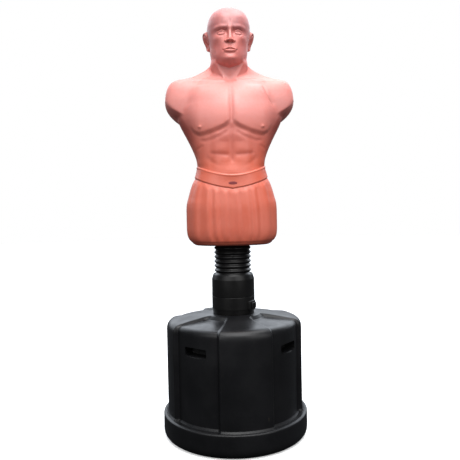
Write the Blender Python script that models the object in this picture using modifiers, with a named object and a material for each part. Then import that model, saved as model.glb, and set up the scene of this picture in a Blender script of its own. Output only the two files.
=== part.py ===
"""Freestanding body opponent mannequin: a foam torso on a height-adjustable ribbed pole in a fillable base.

Units are metres, +Z is up, and the origin is on the floor under the pole's axis.
The torso faces -Y. Bearings are measured from -Y towards +X, seen from above counter-clockwise.
"""

import math

import bmesh
import bpy
from mathutils import Matrix, Vector

# ---- driving dimensions -------------------------------------------------------------------------

GAP = 0.0003                 # clearance between pieces that touch

# Tank
BASE_TURN = math.radians(6.7)    # how far the base stands turned under the torso
SECTORS = 8                      # high and low sectors round the tank, by turns
RIM_RADIUS = 0.290
WALL_RADIUS = 0.270              # of a high sector
SIDE_STEP = 0.016                # a low sector's wall lies this much further in
TOP_STEP = 0.013                 # and its top this much lower
STEP_HALF_ANGLE = math.radians(0.8)
SECTOR_COLUMNS = 4               # faces across one sector
TANK_WALL = 0.005
LEDGE_Z = 0.096
WALL_TOP_Z = 0.428
TOP_RIM_RADIUS = 0.243           # where the top's slope meets its rounded edge
TOP_RIM_Z = 0.462
EDGE_CORNER = 0.034              # radius of the rounded edge round the top
NECK_FOOT_Z = 0.487
NECK_FOOT_RADIUS = 0.086
NECK_RADIUS = 0.0805
NECK_TOP_Z = 0.600
SOCKET_BORE = 0.0765
WELL_RADIUS = 0.0813
WELL_FLOOR_Z = 0.030
BALLAST_TOP_Z = 0.330

# Hand grips, one in each low sector
GRIP_WIDTH = 0.100
GRIP_LOW_Z = 0.354
GRIP_HIGH_Z = 0.388
GRIP_DEPTH = 0.050

# Fill port in the rear high sector
PORT_DISTANCE = 0.178
PORT_FACE_Z = 0.484
PORT_TOP_Z = 0.499
PORT_BORE = 0.0185
PORT_NECK = 0.0215
PORT_BOSS = 0.031
CAP_RADIUS = 0.029
CAP_RIBS = 16

# Collar on the socket's neck
COLLAR_RADIUS = 0.0855
COLLAR_BORE = NECK_RADIUS + 0.0007
COLLAR_LOW_Z = 0.5525
COLLAR_TOP_Z = 0.641
RING_LOW_Z = 0.4885
SCREW_Z = 0.566
SCREW_BEARINGS = [math.radians(angle) for angle in (135, 185, 235)]
HOLE_CLEARANCE = 0.0006          # round the latch pin
BUSH_CLEARANCE = 0.0007          # round the pole
LOWER_BUSH = (0.250, 0.280)      # its foot and top

# Ribbed pole
CREST_RADIUS = 0.0735
ROOT_RADIUS = 0.0672
POLE_BORE = 0.0610
RIB_PITCH = 0.018
POLE_FOOT_Z = 0.150
POLE_TOP_Z = 1.130
RIBS_LOW_Z = 0.4290
RIB_COUNT = 19

# Latch on the collar's lower ring
LATCH_BEARING = BASE_TURN + math.radians(45)
LATCH_Z = 0.5185
LATCH_WIDTH = 0.040
LATCH_HEIGHT = 0.036
LATCH_FACE = 0.0950              # distance of the housing's front from the pole's axis
PIN_RADIUS = 0.0042
FLANGE_RADIUS = 0.0078
SPRING_BORE = 0.0083
SPRING_SEAT = 0.0823             # distances from the pole's axis
FLANGE_FACE = 0.0848
SPRING_STOP = 0.0925
PIN_TIP = 0.0740

# Torso
TORSO_FOOT_Z = 0.760
TORSO_TOP_Z = 1.699
SKIN = 0.006
LIP_INSET = 0.012                # the skin's lip turned in under the hem
FOAM_GAP = 0.001
RING_POINTS = 28
CORE_BORE = 0.0750
CORE_RADIUS = 0.0790
CORE_TOP_Z = 1.160
CORE_LOW_Z = 0.7768
FLANGE_OUTER = 0.104
PLATE_LOW_Z = 0.7664
PLATE_HIGH_Z = 0.7764
SCREW_CIRCLE = 0.092

# Torso sections: height, half width, front y, back y, squareness of the outline (2 is an ellipse)
TORSO_SECTIONS = [
    (0.762, 0.150, -0.104, 0.104, 2.5),
    (0.769, 0.166, -0.118, 0.116, 2.5),
    (0.786, 0.177, -0.129, 0.127, 2.5),
    (0.830, 0.1834, -0.135, 0.134, 2.5),
    (0.895, 0.1832, -0.136, 0.137, 2.5),
    (0.950, 0.1735, -0.134, 0.134, 2.4),
    (1.000, 0.1580, -0.129, 0.120, 2.3),
    (1.042, 0.1435, -0.122, 0.106, 2.3),
    (1.080, 0.1365, -0.117, 0.100, 2.3),
    (1.130, 0.1480, -0.119, 0.104, 2.3),
    (1.185, 0.1745, -0.127, 0.116, 2.2),
    (1.232, 0.1990, -0.133, 0.123, 2.1),
    (1.258, 0.2160, -0.130, 0.124, 2.1),
    (1.290, 0.2470, -0.123, 0.122, 2.1),
    (1.315, 0.2550, -0.116, 0.120, 2.1),
    (1.350, 0.2455, -0.104, 0.114, 2.1),
    (1.383, 0.2290, -0.089, 0.103, 2.0),
    (1.403, 0.2050, -0.080, 0.104, 1.9),
    (1.416, 0.1600, -0.070, 0.097, 1.9),
    (1.434, 0.1200, -0.064, 0.087, 2.0),
    (1.452, 0.0860, -0.060, 0.078, 2.0),
    (1.466, 0.0740, -0.070, 0.073, 2.1),
    (1.474, 0.0725, -0.098, 0.072, 2.2),
    (1.500, 0.0735, -0.113, 0.074, 2.3),
    (1.540, 0.0820, -0.118, 0.084, 2.2),
    (1.580, 0.0860, -0.112, 0.094, 2.2),
    (1.615, 0.0850, -0.112, 0.098, 2.2),
    (1.645, 0.0790, -0.103, 0.092, 2.1),
    (1.670, 0.0640, -0.083, 0.074, 2.0),
    (1.688, 0.0400, -0.055, 0.046, 2.0),
    (1.697, 0.0180, -0.028, 0.018, 2.0),
]
EAR_HEIGHT = 0.062
EAR_Z = 1.562


# ---- helpers ------------------------------------------------------------------------------------

def new_collection(name):
    group = bpy.data.collections.new(name)
    bpy.context.scene.collection.children.link(group)
    return group


def material(name, colour, roughness, metallic=0.0):
    made = bpy.data.materials.new(name)
    made.use_nodes = True
    shader = made.node_tree.nodes["Principled BSDF"]
    shader.inputs["Base Color"].default_value = (*colour, 1.0)
    shader.inputs["Roughness"].default_value = roughness
    shader.inputs["Metallic"].default_value = metallic
    return made


def add_object(name, data, finish=None, parent=None):
    """A named part, or a cutter when it has no finish."""
    obj = bpy.data.objects.new(name, data)
    (PARTS if finish else CUTTERS).objects.link(obj)
    if finish:
        data.materials.append(finish)
    else:
        obj.hide_render = True
        obj.display_type = "WIRE"
    obj.parent = parent
    return obj


def mesh_from(bm, name, smooth=True):
    mesh = bpy.data.meshes.new(name)
    bmesh.ops.recalc_face_normals(bm, faces=bm.faces)
    bm.to_mesh(mesh)
    bm.free()
    if smooth:
        mesh.shade_smooth()
        mesh.set_sharp_from_angle(angle=math.radians(35))
    return mesh


def turned(name, profile, finish=None, closed=False, segments=36, parent=None):
    """A profile of (radius, height) points turned about Z, running down its outer side."""
    bm = bmesh.new()
    points = [bm.verts.new((radius, 0.0, z)) for radius, z in profile]
    for a, b in zip(points, points[1:]):
        bm.edges.new((a, b))
    if closed:
        bm.edges.new((points[-1], points[0]))
    mesh = bpy.data.meshes.new(name)
    bm.to_mesh(mesh)
    bm.free()
    obj = add_object(name, mesh, finish, parent)
    screw = obj.modifiers.new("turn", "SCREW")
    screw.steps = segments
    screw.render_steps = segments
    screw.use_merge_vertices = True
    screw.merge_threshold = 0.00005
    screw.use_smooth_shade = True
    return obj


def tube_profile(inner, outer, low, high):
    return [(inner, high), (outer, high), (outer, low), (inner, low)]


def box(name, size, centre, finish=None, parent=None, round_edge=0.0, segments=2):
    bm = bmesh.new()
    bmesh.ops.create_cube(bm, size=1.0, matrix=Matrix.Diagonal((*size, 1.0)))
    if round_edge:
        bmesh.ops.bevel(bm, geom=bm.edges, offset=round_edge, segments=segments,
                        affect="EDGES", profile=0.5)
    obj = add_object(name, mesh_from(bm, name), finish, parent)
    obj.location = centre
    return obj


def rods(name, spans, radius, finish=None, parent=None, segments=16):
    """Straight round rods in one object, one for each (start, end) in spans."""
    bm = bmesh.new()
    for start, end in spans:
        start, end = Vector(start), Vector(end)
        along = end - start
        place = Matrix.Translation((start + end) / 2) @ along.to_track_quat("Z", "Y").to_matrix().to_4x4()
        bmesh.ops.create_cone(bm, cap_ends=True, segments=segments, radius1=radius, radius2=radius,
                              depth=along.length, matrix=place)
    return add_object(name, mesh_from(bm, name), finish, parent)


def screw_blank(name, head, head_height, shank, length):
    """A pan-head screw along Z, its head's underside at its origin."""
    return turned(name, [
        (0.0, head_height), (head - 0.0012, head_height), (head, head_height - 0.0012), (head, 0.0),
        (shank, 0.0), (shank, -length), (0.0, -length)], STEEL, segments=10)


def cut(obj, cutter, operation="DIFFERENCE"):
    boolean = obj.modifiers.new(f"{operation.lower()} {cutter.name}", "BOOLEAN")
    boolean.operation = operation
    boolean.object = cutter
    return obj


def loft(name, rings, finish=None):
    """A closed skin over rings of equal length; a ring of one point closes an end."""
    bm = bmesh.new()
    made = [[bm.verts.new(point) for point in ring] for ring in rings]
    for low, high in zip(made, made[1:]):
        count = max(len(low), len(high))
        for i in range(count):
            j = (i + 1) % count
            corners = [low[i % len(low)], low[j % len(low)], high[j % len(high)], high[i % len(high)]]
            bm.faces.new(list(dict.fromkeys(corners)))
    return add_object(name, mesh_from(bm, name), finish)


def frame_at(name, bearing, height=0.0, distance=0.0):
    """An empty whose +X points outwards along a bearing."""
    empty = bpy.data.objects.new(name, None)
    PARTS.objects.link(empty)
    empty.rotation_euler = (0.0, 0.0, bearing - math.pi / 2)
    empty.location = (distance * math.sin(bearing), -distance * math.cos(bearing), height)
    return empty


# ---- tank ---------------------------------------------------------------------------------------

def tank_columns():
    """(bearing, share) of each column: share is 0 on a high sector's side and 1 on a low one's."""
    columns = []
    width = 2 * math.pi / SECTORS
    for sector in range(SECTORS):
        first = BASE_TURN + (sector - 0.5) * width + STEP_HALF_ANGLE
        run = width - 2 * STEP_HALF_ANGLE
        for i in range(SECTOR_COLUMNS + 1):
            columns.append((first + run * i / SECTOR_COLUMNS, sector % 2))
    return columns


def sector_ring(high, low):
    """A ring that follows (radius, height) high on the high sectors and low on the low ones."""
    ring = []
    for bearing, share in tank_columns():
        radius, z = low if share else high
        ring.append((radius * math.sin(bearing), -radius * math.cos(bearing), z))
    return ring


def edge_arc(radius, z, corner, steps):
    """Points of a rounded edge, from the wall's top at (radius, z) in and up to the top's slope."""
    return [
        (radius - corner * (1 - math.cos(angle)), z + corner * math.sin(angle))
        for angle in (math.radians(80) * i / steps for i in range(steps + 1))
    ]


def top_height(radius):
    """Height of a high sector's sloping top."""
    share = (TOP_RIM_RADIUS - radius) / (TOP_RIM_RADIUS - NECK_FOOT_RADIUS)
    return TOP_RIM_Z + share * (NECK_FOOT_Z - TOP_RIM_Z)


def tank_stations(inset=0.0, arc_steps=3):
    """(high point, low point) of each ring from the rim's foot up to the neck, moved in by inset."""
    def both(radius, z):
        return (radius, z), (radius, z)

    rim = [
        (RIM_RADIUS - 0.028, 0.0), (RIM_RADIUS - 0.012, 0.004), (RIM_RADIUS - 0.003, 0.014),
        (RIM_RADIUS, 0.032), (RIM_RADIUS, 0.064), (RIM_RADIUS - 0.004, 0.081), (RIM_RADIUS - 0.012, 0.091),
    ]
    if inset:
        rim = rim[::2]
    stations = [both(radius - inset, max(z, inset) if z < 0.05 else z - inset) for radius, z in rim]
    low_wall = WALL_RADIUS - SIDE_STEP
    stations.append(((WALL_RADIUS - inset, LEDGE_Z - inset), (low_wall - inset, LEDGE_Z + 0.001 - inset)))
    high_edge = edge_arc(WALL_RADIUS - inset, WALL_TOP_Z - inset, EDGE_CORNER, arc_steps)
    low_edge = edge_arc(low_wall - inset, WALL_TOP_Z - TOP_STEP - inset, EDGE_CORNER - 0.004, arc_steps)
    stations += list(zip(high_edge, low_edge))
    for radius, drop in ((0.122, TOP_STEP), (0.110, 0.0)):
        level = top_height(radius)
        stations.append(((radius, level - inset), (radius, level - drop - inset)))
    stations.append(both(WELL_RADIUS + inset, NECK_FOOT_Z - inset))
    return stations


def make_tank():
    """The blow-moulded tank: sectors, rim, central well, grips and fill port."""
    rings = [[(0.0, 0.0, 0.0)]]
    rings += [sector_ring(*station) for station in tank_stations()]
    rings.append(sector_ring((WELL_RADIUS, WELL_FLOOR_Z), (WELL_RADIUS, WELL_FLOOR_Z)))
    rings.append([(0.0, 0.0, WELL_FLOOR_Z)])
    tank = loft("base_tank", rings, HDPE)

    # The cavity runs round the well and under its floor.
    inner = [[(0.0, 0.0, TANK_WALL)]]
    inner += [sector_ring(*station) for station in tank_stations(TANK_WALL, 2)]
    under_floor = WELL_FLOOR_Z - TANK_WALL
    inner.append(sector_ring((WELL_RADIUS + TANK_WALL, under_floor), (WELL_RADIUS + TANK_WALL, under_floor)))
    inner.append([(0.0, 0.0, under_floor)])
    cavity = loft("cavity_cutter", inner)

    for k in range(4):
        bearing = BASE_TURN + math.radians(45 + 90 * k)
        frame = frame_at(f"grip_frame_{k + 1}", bearing)
        wall = WALL_RADIUS - SIDE_STEP
        back = wall - GRIP_DEPTH
        height = GRIP_HIGH_Z - GRIP_LOW_Z
        middle = (GRIP_HIGH_Z + GRIP_LOW_Z) / 2
        length = 0.30 - back
        pocket = box(f"grip_cutter_{k + 1}", (length, GRIP_WIDTH, height),
                     (back + length / 2, 0.0, middle), parent=frame, round_edge=0.006, segments=1)
        grown = TANK_WALL
        cover = box(f"grip_wall_cutter_{k + 1}",
                    (length + grown, GRIP_WIDTH + 2 * grown, height + 2 * grown),
                    (back + (length - grown) / 2, 0.0, middle), parent=frame)
        cut(cavity, cover)
        cut(tank, pocket)

    port_x = PORT_DISTANCE * math.sin(BASE_TURN + math.pi)
    port_y = -PORT_DISTANCE * math.cos(BASE_TURN + math.pi)
    low = PORT_FACE_Z - 0.020
    boss = turned("port_boss_cutter", [
        (0.0, PORT_TOP_Z), (PORT_NECK, PORT_TOP_Z), (PORT_NECK, PORT_FACE_Z),
        (PORT_BOSS, PORT_FACE_Z), (PORT_BOSS, low), (0.0, low)], segments=32)
    boss.location = (port_x, port_y, 0.0)
    bore = rods("port_bore_cutter", [((port_x, port_y, 0.44), (port_x, port_y, 0.51))], PORT_BORE, segments=32)
    cut(tank, boss, "UNION")
    cut(tank, cavity)
    cut(tank, bore)


def make_socket():
    """The tube that stands in the tank's well and takes the pole."""
    foot = WELL_FLOOR_Z + GAP
    socket = turned("stem_socket", [
        (0.0, foot + 0.004), (SOCKET_BORE, foot + 0.004), (SOCKET_BORE, NECK_TOP_Z), (NECK_RADIUS, NECK_TOP_Z),
        (NECK_RADIUS, foot), (0.0, foot)], HDPE, segments=40)
    pin_hole = rods("neck_pin_cutter", [((0.06, 0.0, 0.0), (0.10, 0.0, 0.0))], PIN_RADIUS + HOLE_CLEARANCE,
                    parent=LATCH_FRAME)
    cut(socket, pin_hole)
    cut(socket, SCREW_HOLES)


def make_ballast():
    """Water ballast round the well, filled to just below the grips."""
    outer = WALL_RADIUS - SIDE_STEP - TANK_WALL - 0.001
    low = TANK_WALL + 0.0005
    inner = WELL_RADIUS + TANK_WALL + 0.001
    turned("ballast_fill", tube_profile(inner, outer, low, BALLAST_TOP_Z), BALLAST, closed=True)


def make_fill_cap():
    """Ribbed screw cap and its seal on the fill port."""
    centre = frame_at("fill_port_axis", BASE_TURN + math.pi, 0.0, PORT_DISTANCE)
    top, floor = PORT_TOP_Z + 0.0085, PORT_FACE_Z + 0.0020
    ceiling = PORT_TOP_Z + 0.0038
    bore = PORT_NECK + 0.0010
    count = 2 * CAP_RIBS

    def ring(radius, z, rib=0.0):
        return [
            ((radius - rib * (i % 2)) * math.cos(math.tau * i / count),
             (radius - rib * (i % 2)) * math.sin(math.tau * i / count), z)
            for i in range(count)
        ]

    rings = [[(0.0, 0.0, ceiling)], ring(bore, ceiling), ring(bore, floor), ring(CAP_RADIUS, floor, 0.0012),
             ring(CAP_RADIUS, top - 0.0015, 0.0012), ring(CAP_RADIUS - 0.003, top), [(0.0, 0.0, top)]]
    cap = loft("fill_cap", rings, PLASTIC)
    cap.parent = centre
    turned("fill_cap_seal", tube_profile(PORT_BORE + 0.0004, PORT_NECK - 0.0004, PORT_TOP_Z + GAP,
                                         ceiling - GAP), RUBBER, closed=True, segments=24, parent=centre)


# ---- collar -------------------------------------------------------------------------------------

def make_collar():
    """Sleeve, lower ring, guide bushes and the sleeve's screws."""
    shoulder = [(COLLAR_RADIUS - 0.0095 * (1 - math.cos(angle)), COLLAR_TOP_Z - 0.021 + 0.021 * math.sin(angle))
                for angle in (math.radians(22.5 * i) for i in (4, 3, 2, 1, 0))]
    mouth = CREST_RADIUS + 0.0016
    sleeve = turned("stem_collar", [
        (mouth, COLLAR_TOP_Z - 0.001), *shoulder,
        (COLLAR_RADIUS, COLLAR_LOW_Z), (COLLAR_BORE, COLLAR_LOW_Z), (COLLAR_BORE, COLLAR_TOP_Z - 0.0265),
        (mouth, COLLAR_TOP_Z - 0.014)], PLASTIC, closed=True)
    cut(sleeve, SCREW_HOLES)

    ring = turned("lock_ring", [
        (COLLAR_BORE, COLLAR_LOW_Z - 0.0008), (COLLAR_RADIUS - 0.0008, COLLAR_LOW_Z - 0.0008),
        (COLLAR_RADIUS, COLLAR_LOW_Z - 0.0016), (COLLAR_RADIUS, RING_LOW_Z + 0.0145),
        (COLLAR_RADIUS - 0.003, RING_LOW_Z), (COLLAR_BORE, RING_LOW_Z)], PLASTIC, closed=True)
    spring_hole = rods("ring_spring_cutter", [((SPRING_SEAT, 0.0, 0.0), (0.10, 0.0, 0.0))], SPRING_BORE,
                       parent=LATCH_FRAME, segments=24)
    pin_hole = rods("ring_pin_cutter", [((0.075, 0.0, 0.0), (0.10, 0.0, 0.0))], PIN_RADIUS + HOLE_CLEARANCE,
                    parent=LATCH_FRAME)
    cut(ring, spring_hole)
    cut(ring, pin_hole)

    bush_bore = CREST_RADIUS + BUSH_CLEARANCE
    bush_outer = SOCKET_BORE - 0.0009
    turned("upper_guide_bush", [
        (bush_bore, NECK_TOP_Z + 0.005), (NECK_RADIUS - GAP, NECK_TOP_Z + 0.005),
        (NECK_RADIUS - GAP, NECK_TOP_Z + GAP), (bush_outer, NECK_TOP_Z + GAP),
        (bush_outer, NECK_TOP_Z - 0.028), (bush_bore, NECK_TOP_Z - 0.028)], NYLON, closed=True)
    turned("lower_guide_bush", tube_profile(bush_bore, bush_outer, *LOWER_BUSH), NYLON, closed=True)

    for number, bearing in enumerate(SCREW_BEARINGS, 1):
        screw = screw_blank(f"collar_screw_{number}", 0.0050, 0.0026, 0.0022, 0.0080)
        screw.parent = frame_at(f"collar_screw_axis_{number}", bearing, SCREW_Z, COLLAR_RADIUS + 0.0004)
        screw.rotation_euler = (0.0, math.radians(90), 0.0)


def make_latch():
    """Spring-loaded pull latch that holds the pole's ribs."""
    depth = LATCH_FACE - 0.080
    housing = box("latch_housing", (depth, LATCH_WIDTH, LATCH_HEIGHT), (0.080 + depth / 2, 0.0, 0.0),
                  PLASTIC, LATCH_FRAME, round_edge=0.003)
    seat = rods("latch_seat_cutter", [((0.0, 0.0, -0.05), (0.0, 0.0, 0.05))], COLLAR_RADIUS + GAP, segments=96,
                parent=LATCH_FRAME)
    spring_room = rods("latch_spring_cutter", [((0.07, 0.0, 0.0), (SPRING_STOP, 0.0, 0.0))], SPRING_BORE,
                       parent=LATCH_FRAME, segments=24)
    pin_way = rods("latch_pin_cutter", [((0.07, 0.0, 0.0), (0.11, 0.0, 0.0))], PIN_RADIUS + HOLE_CLEARANCE,
                   parent=LATCH_FRAME)
    for cutter in (seat, spring_room, pin_way):
        cut(housing, cutter)

    outer_end = LATCH_FACE + 0.0022
    pin = turned("latch_pin", [
        (0.0, outer_end), (PIN_RADIUS, outer_end), (PIN_RADIUS, FLANGE_FACE - GAP),
        (FLANGE_RADIUS, FLANGE_FACE - GAP), (FLANGE_RADIUS, SPRING_SEAT + GAP), (PIN_RADIUS, SPRING_SEAT + GAP),
        (PIN_RADIUS, PIN_TIP + 0.0012), (PIN_RADIUS - 0.0012, PIN_TIP), (0.0, PIN_TIP)],
        STEEL, segments=20, parent=LATCH_FRAME)
    pin.rotation_euler = (0.0, math.radians(90), 0.0)
    knob_depth = 0.0065
    knob = box("latch_knob", (knob_depth, 0.027, 0.022), (LATCH_FACE + GAP + knob_depth / 2, 0.0, 0.0),
               PLASTIC, LATCH_FRAME, round_edge=0.002)
    socket = rods("knob_socket_cutter", [((0.08, 0.0, 0.0), (LATCH_FACE + 0.0025, 0.0, 0.0))],
                  PIN_RADIUS + GAP, parent=LATCH_FRAME)
    cut(knob, socket)
    coil(LATCH_FRAME)


def coil(parent):
    """The latch's compression spring, a helix round the pin."""
    turns, steps, wire = 3.5, 10, 0.0005
    start, end = FLANGE_FACE + wire + 0.0002, SPRING_STOP - wire - 0.0002
    curve = bpy.data.curves.new("latch_spring", "CURVE")
    curve.dimensions = "3D"
    curve.bevel_depth = wire
    curve.bevel_resolution = 1
    curve.use_fill_caps = True
    spline = curve.splines.new("POLY")
    count = int(turns * steps) + 1
    spline.points.add(count - 1)
    radius = 0.0065
    for i, point in enumerate(spline.points):
        angle = math.tau * i / steps
        x = start + (end - start) * i / (count - 1)
        point.co = (x, radius * math.cos(angle), radius * math.sin(angle), 1.0)
    add_object("latch_spring", curve, STEEL, parent)


# ---- pole ---------------------------------------------------------------------------------------

def make_pole():
    """Ribbed tube with a plug in each end."""
    ribs = []
    for i in range(RIB_COUNT):
        foot = RIBS_LOW_Z + i * RIB_PITCH
        ribs += [(ROOT_RADIUS, foot + 0.0030), (CREST_RADIUS, foot + 0.0065),
                 (CREST_RADIUS, foot + 0.0125), (ROOT_RADIUS, foot + 0.0160)]
    outer = [(CREST_RADIUS, POLE_FOOT_Z), (CREST_RADIUS, RIBS_LOW_Z - 0.001), *ribs,
             (CREST_RADIUS, RIBS_LOW_Z + RIB_COUNT * RIB_PITCH + 0.006), (CREST_RADIUS, POLE_TOP_Z)]
    turned("pole_tube", [(POLE_BORE, POLE_TOP_Z), *reversed(outer), (POLE_BORE, POLE_FOOT_Z)],
           HDPE, closed=True, segments=22)
    plug = POLE_BORE - 0.0006
    turned("pole_top_cap", [(0.0, POLE_TOP_Z + 0.006), (CREST_RADIUS - 0.001, POLE_TOP_Z + 0.006),
                            (CREST_RADIUS - 0.001, POLE_TOP_Z + GAP), (plug, POLE_TOP_Z + GAP),
                            (plug, POLE_TOP_Z - 0.020), (0.0, POLE_TOP_Z - 0.020)], NYLON, segments=22)
    turned("pole_foot_plug", [(0.0, POLE_FOOT_Z + 0.020), (plug, POLE_FOOT_Z + 0.020), (plug, POLE_FOOT_Z - GAP),
                              (CREST_RADIUS - 0.001, POLE_FOOT_Z - GAP),
                              (CREST_RADIUS - 0.001, POLE_FOOT_Z - 0.006), (0.0, POLE_FOOT_Z - 0.006)],
           NYLON, segments=22)


# ---- torso --------------------------------------------------------------------------------------

def interpolated(table, z):
    """A table's (half width, front, back, squareness) at a height."""
    z = min(max(z, table[0][0]), table[-1][0])
    for low, high in zip(table, table[1:]):
        if z <= high[0]:
            share = (z - low[0]) / (high[0] - low[0])
            return [a + (b - a) * share for a, b in zip(low[1:], high[1:])]
    return list(table[-1][1:])


def inner_sections():
    """The skin's inner surface: at each height the slimmest section within reach, less the thickness."""
    low, high = TORSO_FOOT_Z + SKIN, TORSO_TOP_Z - SKIN - 0.008
    heights = [low, CORE_LOW_Z, *(row[0] for row in TORSO_SECTIONS if CORE_LOW_Z + 0.004 < row[0] < high)]
    table = []
    for z in heights:
        near = [interpolated(TORSO_SECTIONS, z + SKIN * step / 3) for step in range(-3, 4)]
        table.append((z, min(row[0] for row in near) - SKIN, max(row[1] for row in near) + SKIN,
                      min(row[2] for row in near) - SKIN, interpolated(TORSO_SECTIONS, z)[3]))
    return table


def outline(z, width, front, back, squareness, inset=0.0):
    """A superellipse ring at height z, with its own front and back depths."""
    ring = []
    for i in range(RING_POINTS):
        angle = math.tau * (i + 0.5) / RING_POINTS
        c, s = math.cos(angle), math.sin(angle)
        power = 2.0 / squareness
        middle = (front + back) / 2
        x = (width - inset) * math.copysign(abs(c) ** power, c)
        y = middle + ((back - front) / 2 - inset) * math.copysign(abs(s) ** power, s)
        ring.append((x, y, z))
    return ring


def stacked(table, top_z, inset=0.0):
    """Rings of a table of sections, closed by a point at the crown."""
    crown = table[-1]
    return [*(outline(*row, inset) for row in table), [(0.0, (crown[2] + crown[3]) / 2, top_z)]]


def make_torso():
    """Vinyl skin, foam, core tube, base plate, its screws and the bearing pad."""
    first = TORSO_SECTIONS[0]
    lip = outline(TORSO_FOOT_Z, *first[1:], LIP_INSET)
    hem = outline(TORSO_FOOT_Z, *first[1:], 0.006)
    lip_top = outline(TORSO_FOOT_Z + SKIN, *first[1:], LIP_INSET)
    inner = inner_sections()
    inner_top = TORSO_TOP_Z - 1.6 * SKIN
    skin = loft("torso_skin", [*reversed(stacked(inner, inner_top)), lip_top, lip, hem,
                               *stacked(TORSO_SECTIONS, TORSO_TOP_Z)], SKIN_VINYL)
    for side in (-1, 1):
        bm = bmesh.new()
        bmesh.ops.create_uvsphere(bm, u_segments=12, v_segments=8, radius=0.5)
        ear = add_object(f"ear_cutter_{'left' if side > 0 else 'right'}", mesh_from(bm, "ear"))
        ear.location = (side * 0.0910, 0.004, EAR_Z)
        ear.scale = (0.018, 0.040, EAR_HEIGHT)
        ear.rotation_euler = (math.radians(-12), side * math.radians(10), 0.0)
        cut(skin, ear, "UNION")

    # From the top down like the skin's inside, so that both split their curved quads the same way.
    foam = loft("torso_foam", [
        *reversed(stacked(inner[1:], inner_top - 0.002, FOAM_GAP)), [(0.0, 0.0, CORE_LOW_Z)]], FOAM)
    room = turned("core_room_cutter", [
        (0.0, CORE_TOP_Z + GAP), (CORE_RADIUS + GAP, CORE_TOP_Z + GAP), (CORE_RADIUS + GAP, CORE_LOW_Z + 0.0053),
        (FLANGE_OUTER + GAP, CORE_LOW_Z + 0.0053), (FLANGE_OUTER + GAP, CORE_LOW_Z - 0.01),
        (0.0, CORE_LOW_Z - 0.01)], segments=32)
    cut(foam, room)

    core = turned("torso_core_tube", [
        (0.0, CORE_TOP_Z), (CORE_RADIUS, CORE_TOP_Z), (CORE_RADIUS, CORE_LOW_Z + 0.005),
        (FLANGE_OUTER, CORE_LOW_Z + 0.005), (FLANGE_OUTER, CORE_LOW_Z), (CORE_BORE, CORE_LOW_Z),
        (CORE_BORE, CORE_TOP_Z - 0.008), (0.0, CORE_TOP_Z - 0.008)], HDPE, segments=32)
    turned("bearing_pad", [(0.0, CORE_TOP_Z - 0.0084), (0.060, CORE_TOP_Z - 0.0084),
                           (0.060, POLE_TOP_Z + 0.0064), (0.0, POLE_TOP_Z + 0.0064)], NYLON, segments=24)

    plate_outline = (PLATE_LOW_Z, *interpolated(inner, PLATE_LOW_Z), 0.0015)
    plate = loft("torso_base_plate", [
        [(0.0, 0.0, PLATE_LOW_Z)], outline(*plate_outline), outline(PLATE_HIGH_Z, *plate_outline[1:]),
        [(0.0, 0.0, PLATE_HIGH_Z)]], PLYWOOD)
    hole = rods("plate_hole_cutter", [((0, 0, 0.74), (0, 0, 0.80))], CORE_BORE, segments=32)
    spots = [(SCREW_CIRCLE * math.cos(a), SCREW_CIRCLE * math.sin(a))
             for a in (math.radians(45 + 90 * i) for i in range(4))]
    screw_ways = rods("plate_screw_cutter", [((x, y, 0.75), (x, y, 0.80)) for x, y in spots], 0.0025, segments=12)
    cut(plate, hole)
    cut(plate, screw_ways)
    cut(core, screw_ways)
    for number, (x, y) in enumerate(spots, 1):
        screw = screw_blank(f"plate_screw_{number}", 0.0046, 0.0026, 0.0020, 0.0135)
        screw.location = (x, y, PLATE_LOW_Z - GAP)
        screw.rotation_euler = (math.radians(180), 0.0, 0.0)


# ---- build --------------------------------------------------------------------------------------

for old in list(bpy.data.objects):
    bpy.data.objects.remove(old)

PARTS = new_collection("body_opponent_mannequin")
CUTTERS = new_collection("cutters")

SKIN_VINYL = material("vinyl skin", (0.72, 0.28, 0.20), 0.5)
FOAM = material("urethane foam", (0.80, 0.72, 0.50), 0.9)
HDPE = material("black moulded polyethylene", (0.015, 0.015, 0.017), 0.45)
PLASTIC = material("black plastic", (0.012, 0.012, 0.013), 0.4)
NYLON = material("nylon", (0.75, 0.74, 0.70), 0.4)
RUBBER = material("rubber", (0.03, 0.03, 0.03), 0.8)
STEEL = material("zinc-plated steel", (0.62, 0.62, 0.60), 0.35, 1.0)
PLYWOOD = material("plywood", (0.55, 0.38, 0.22), 0.7)
BALLAST = material("water ballast", (0.35, 0.50, 0.60), 0.1)

LATCH_FRAME = frame_at("latch_axis", LATCH_BEARING, LATCH_Z)
SCREW_HOLES = rods("collar_screw_cutter", [
    ((0.07 * math.sin(b), -0.07 * math.cos(b), SCREW_Z), (0.10 * math.sin(b), -0.10 * math.cos(b), SCREW_Z))
    for b in SCREW_BEARINGS], 0.0026)

make_tank()
make_socket()
make_ballast()
make_fill_cap()
make_collar()
make_latch()
make_pole()
make_torso()
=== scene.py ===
"""Looks of the body opponent mannequin: sculpted vinyl torso, ribbed pole, collar and black tank.

Metres, +Z up, the figure faces -Y. Bearings run from -Y towards +X, counter-clockwise from above.
"""
import math

import bmesh
import bpy
import numpy as np
from mathutils import Matrix, Vector
from mathutils.bvhtree import BVHTree


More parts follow.
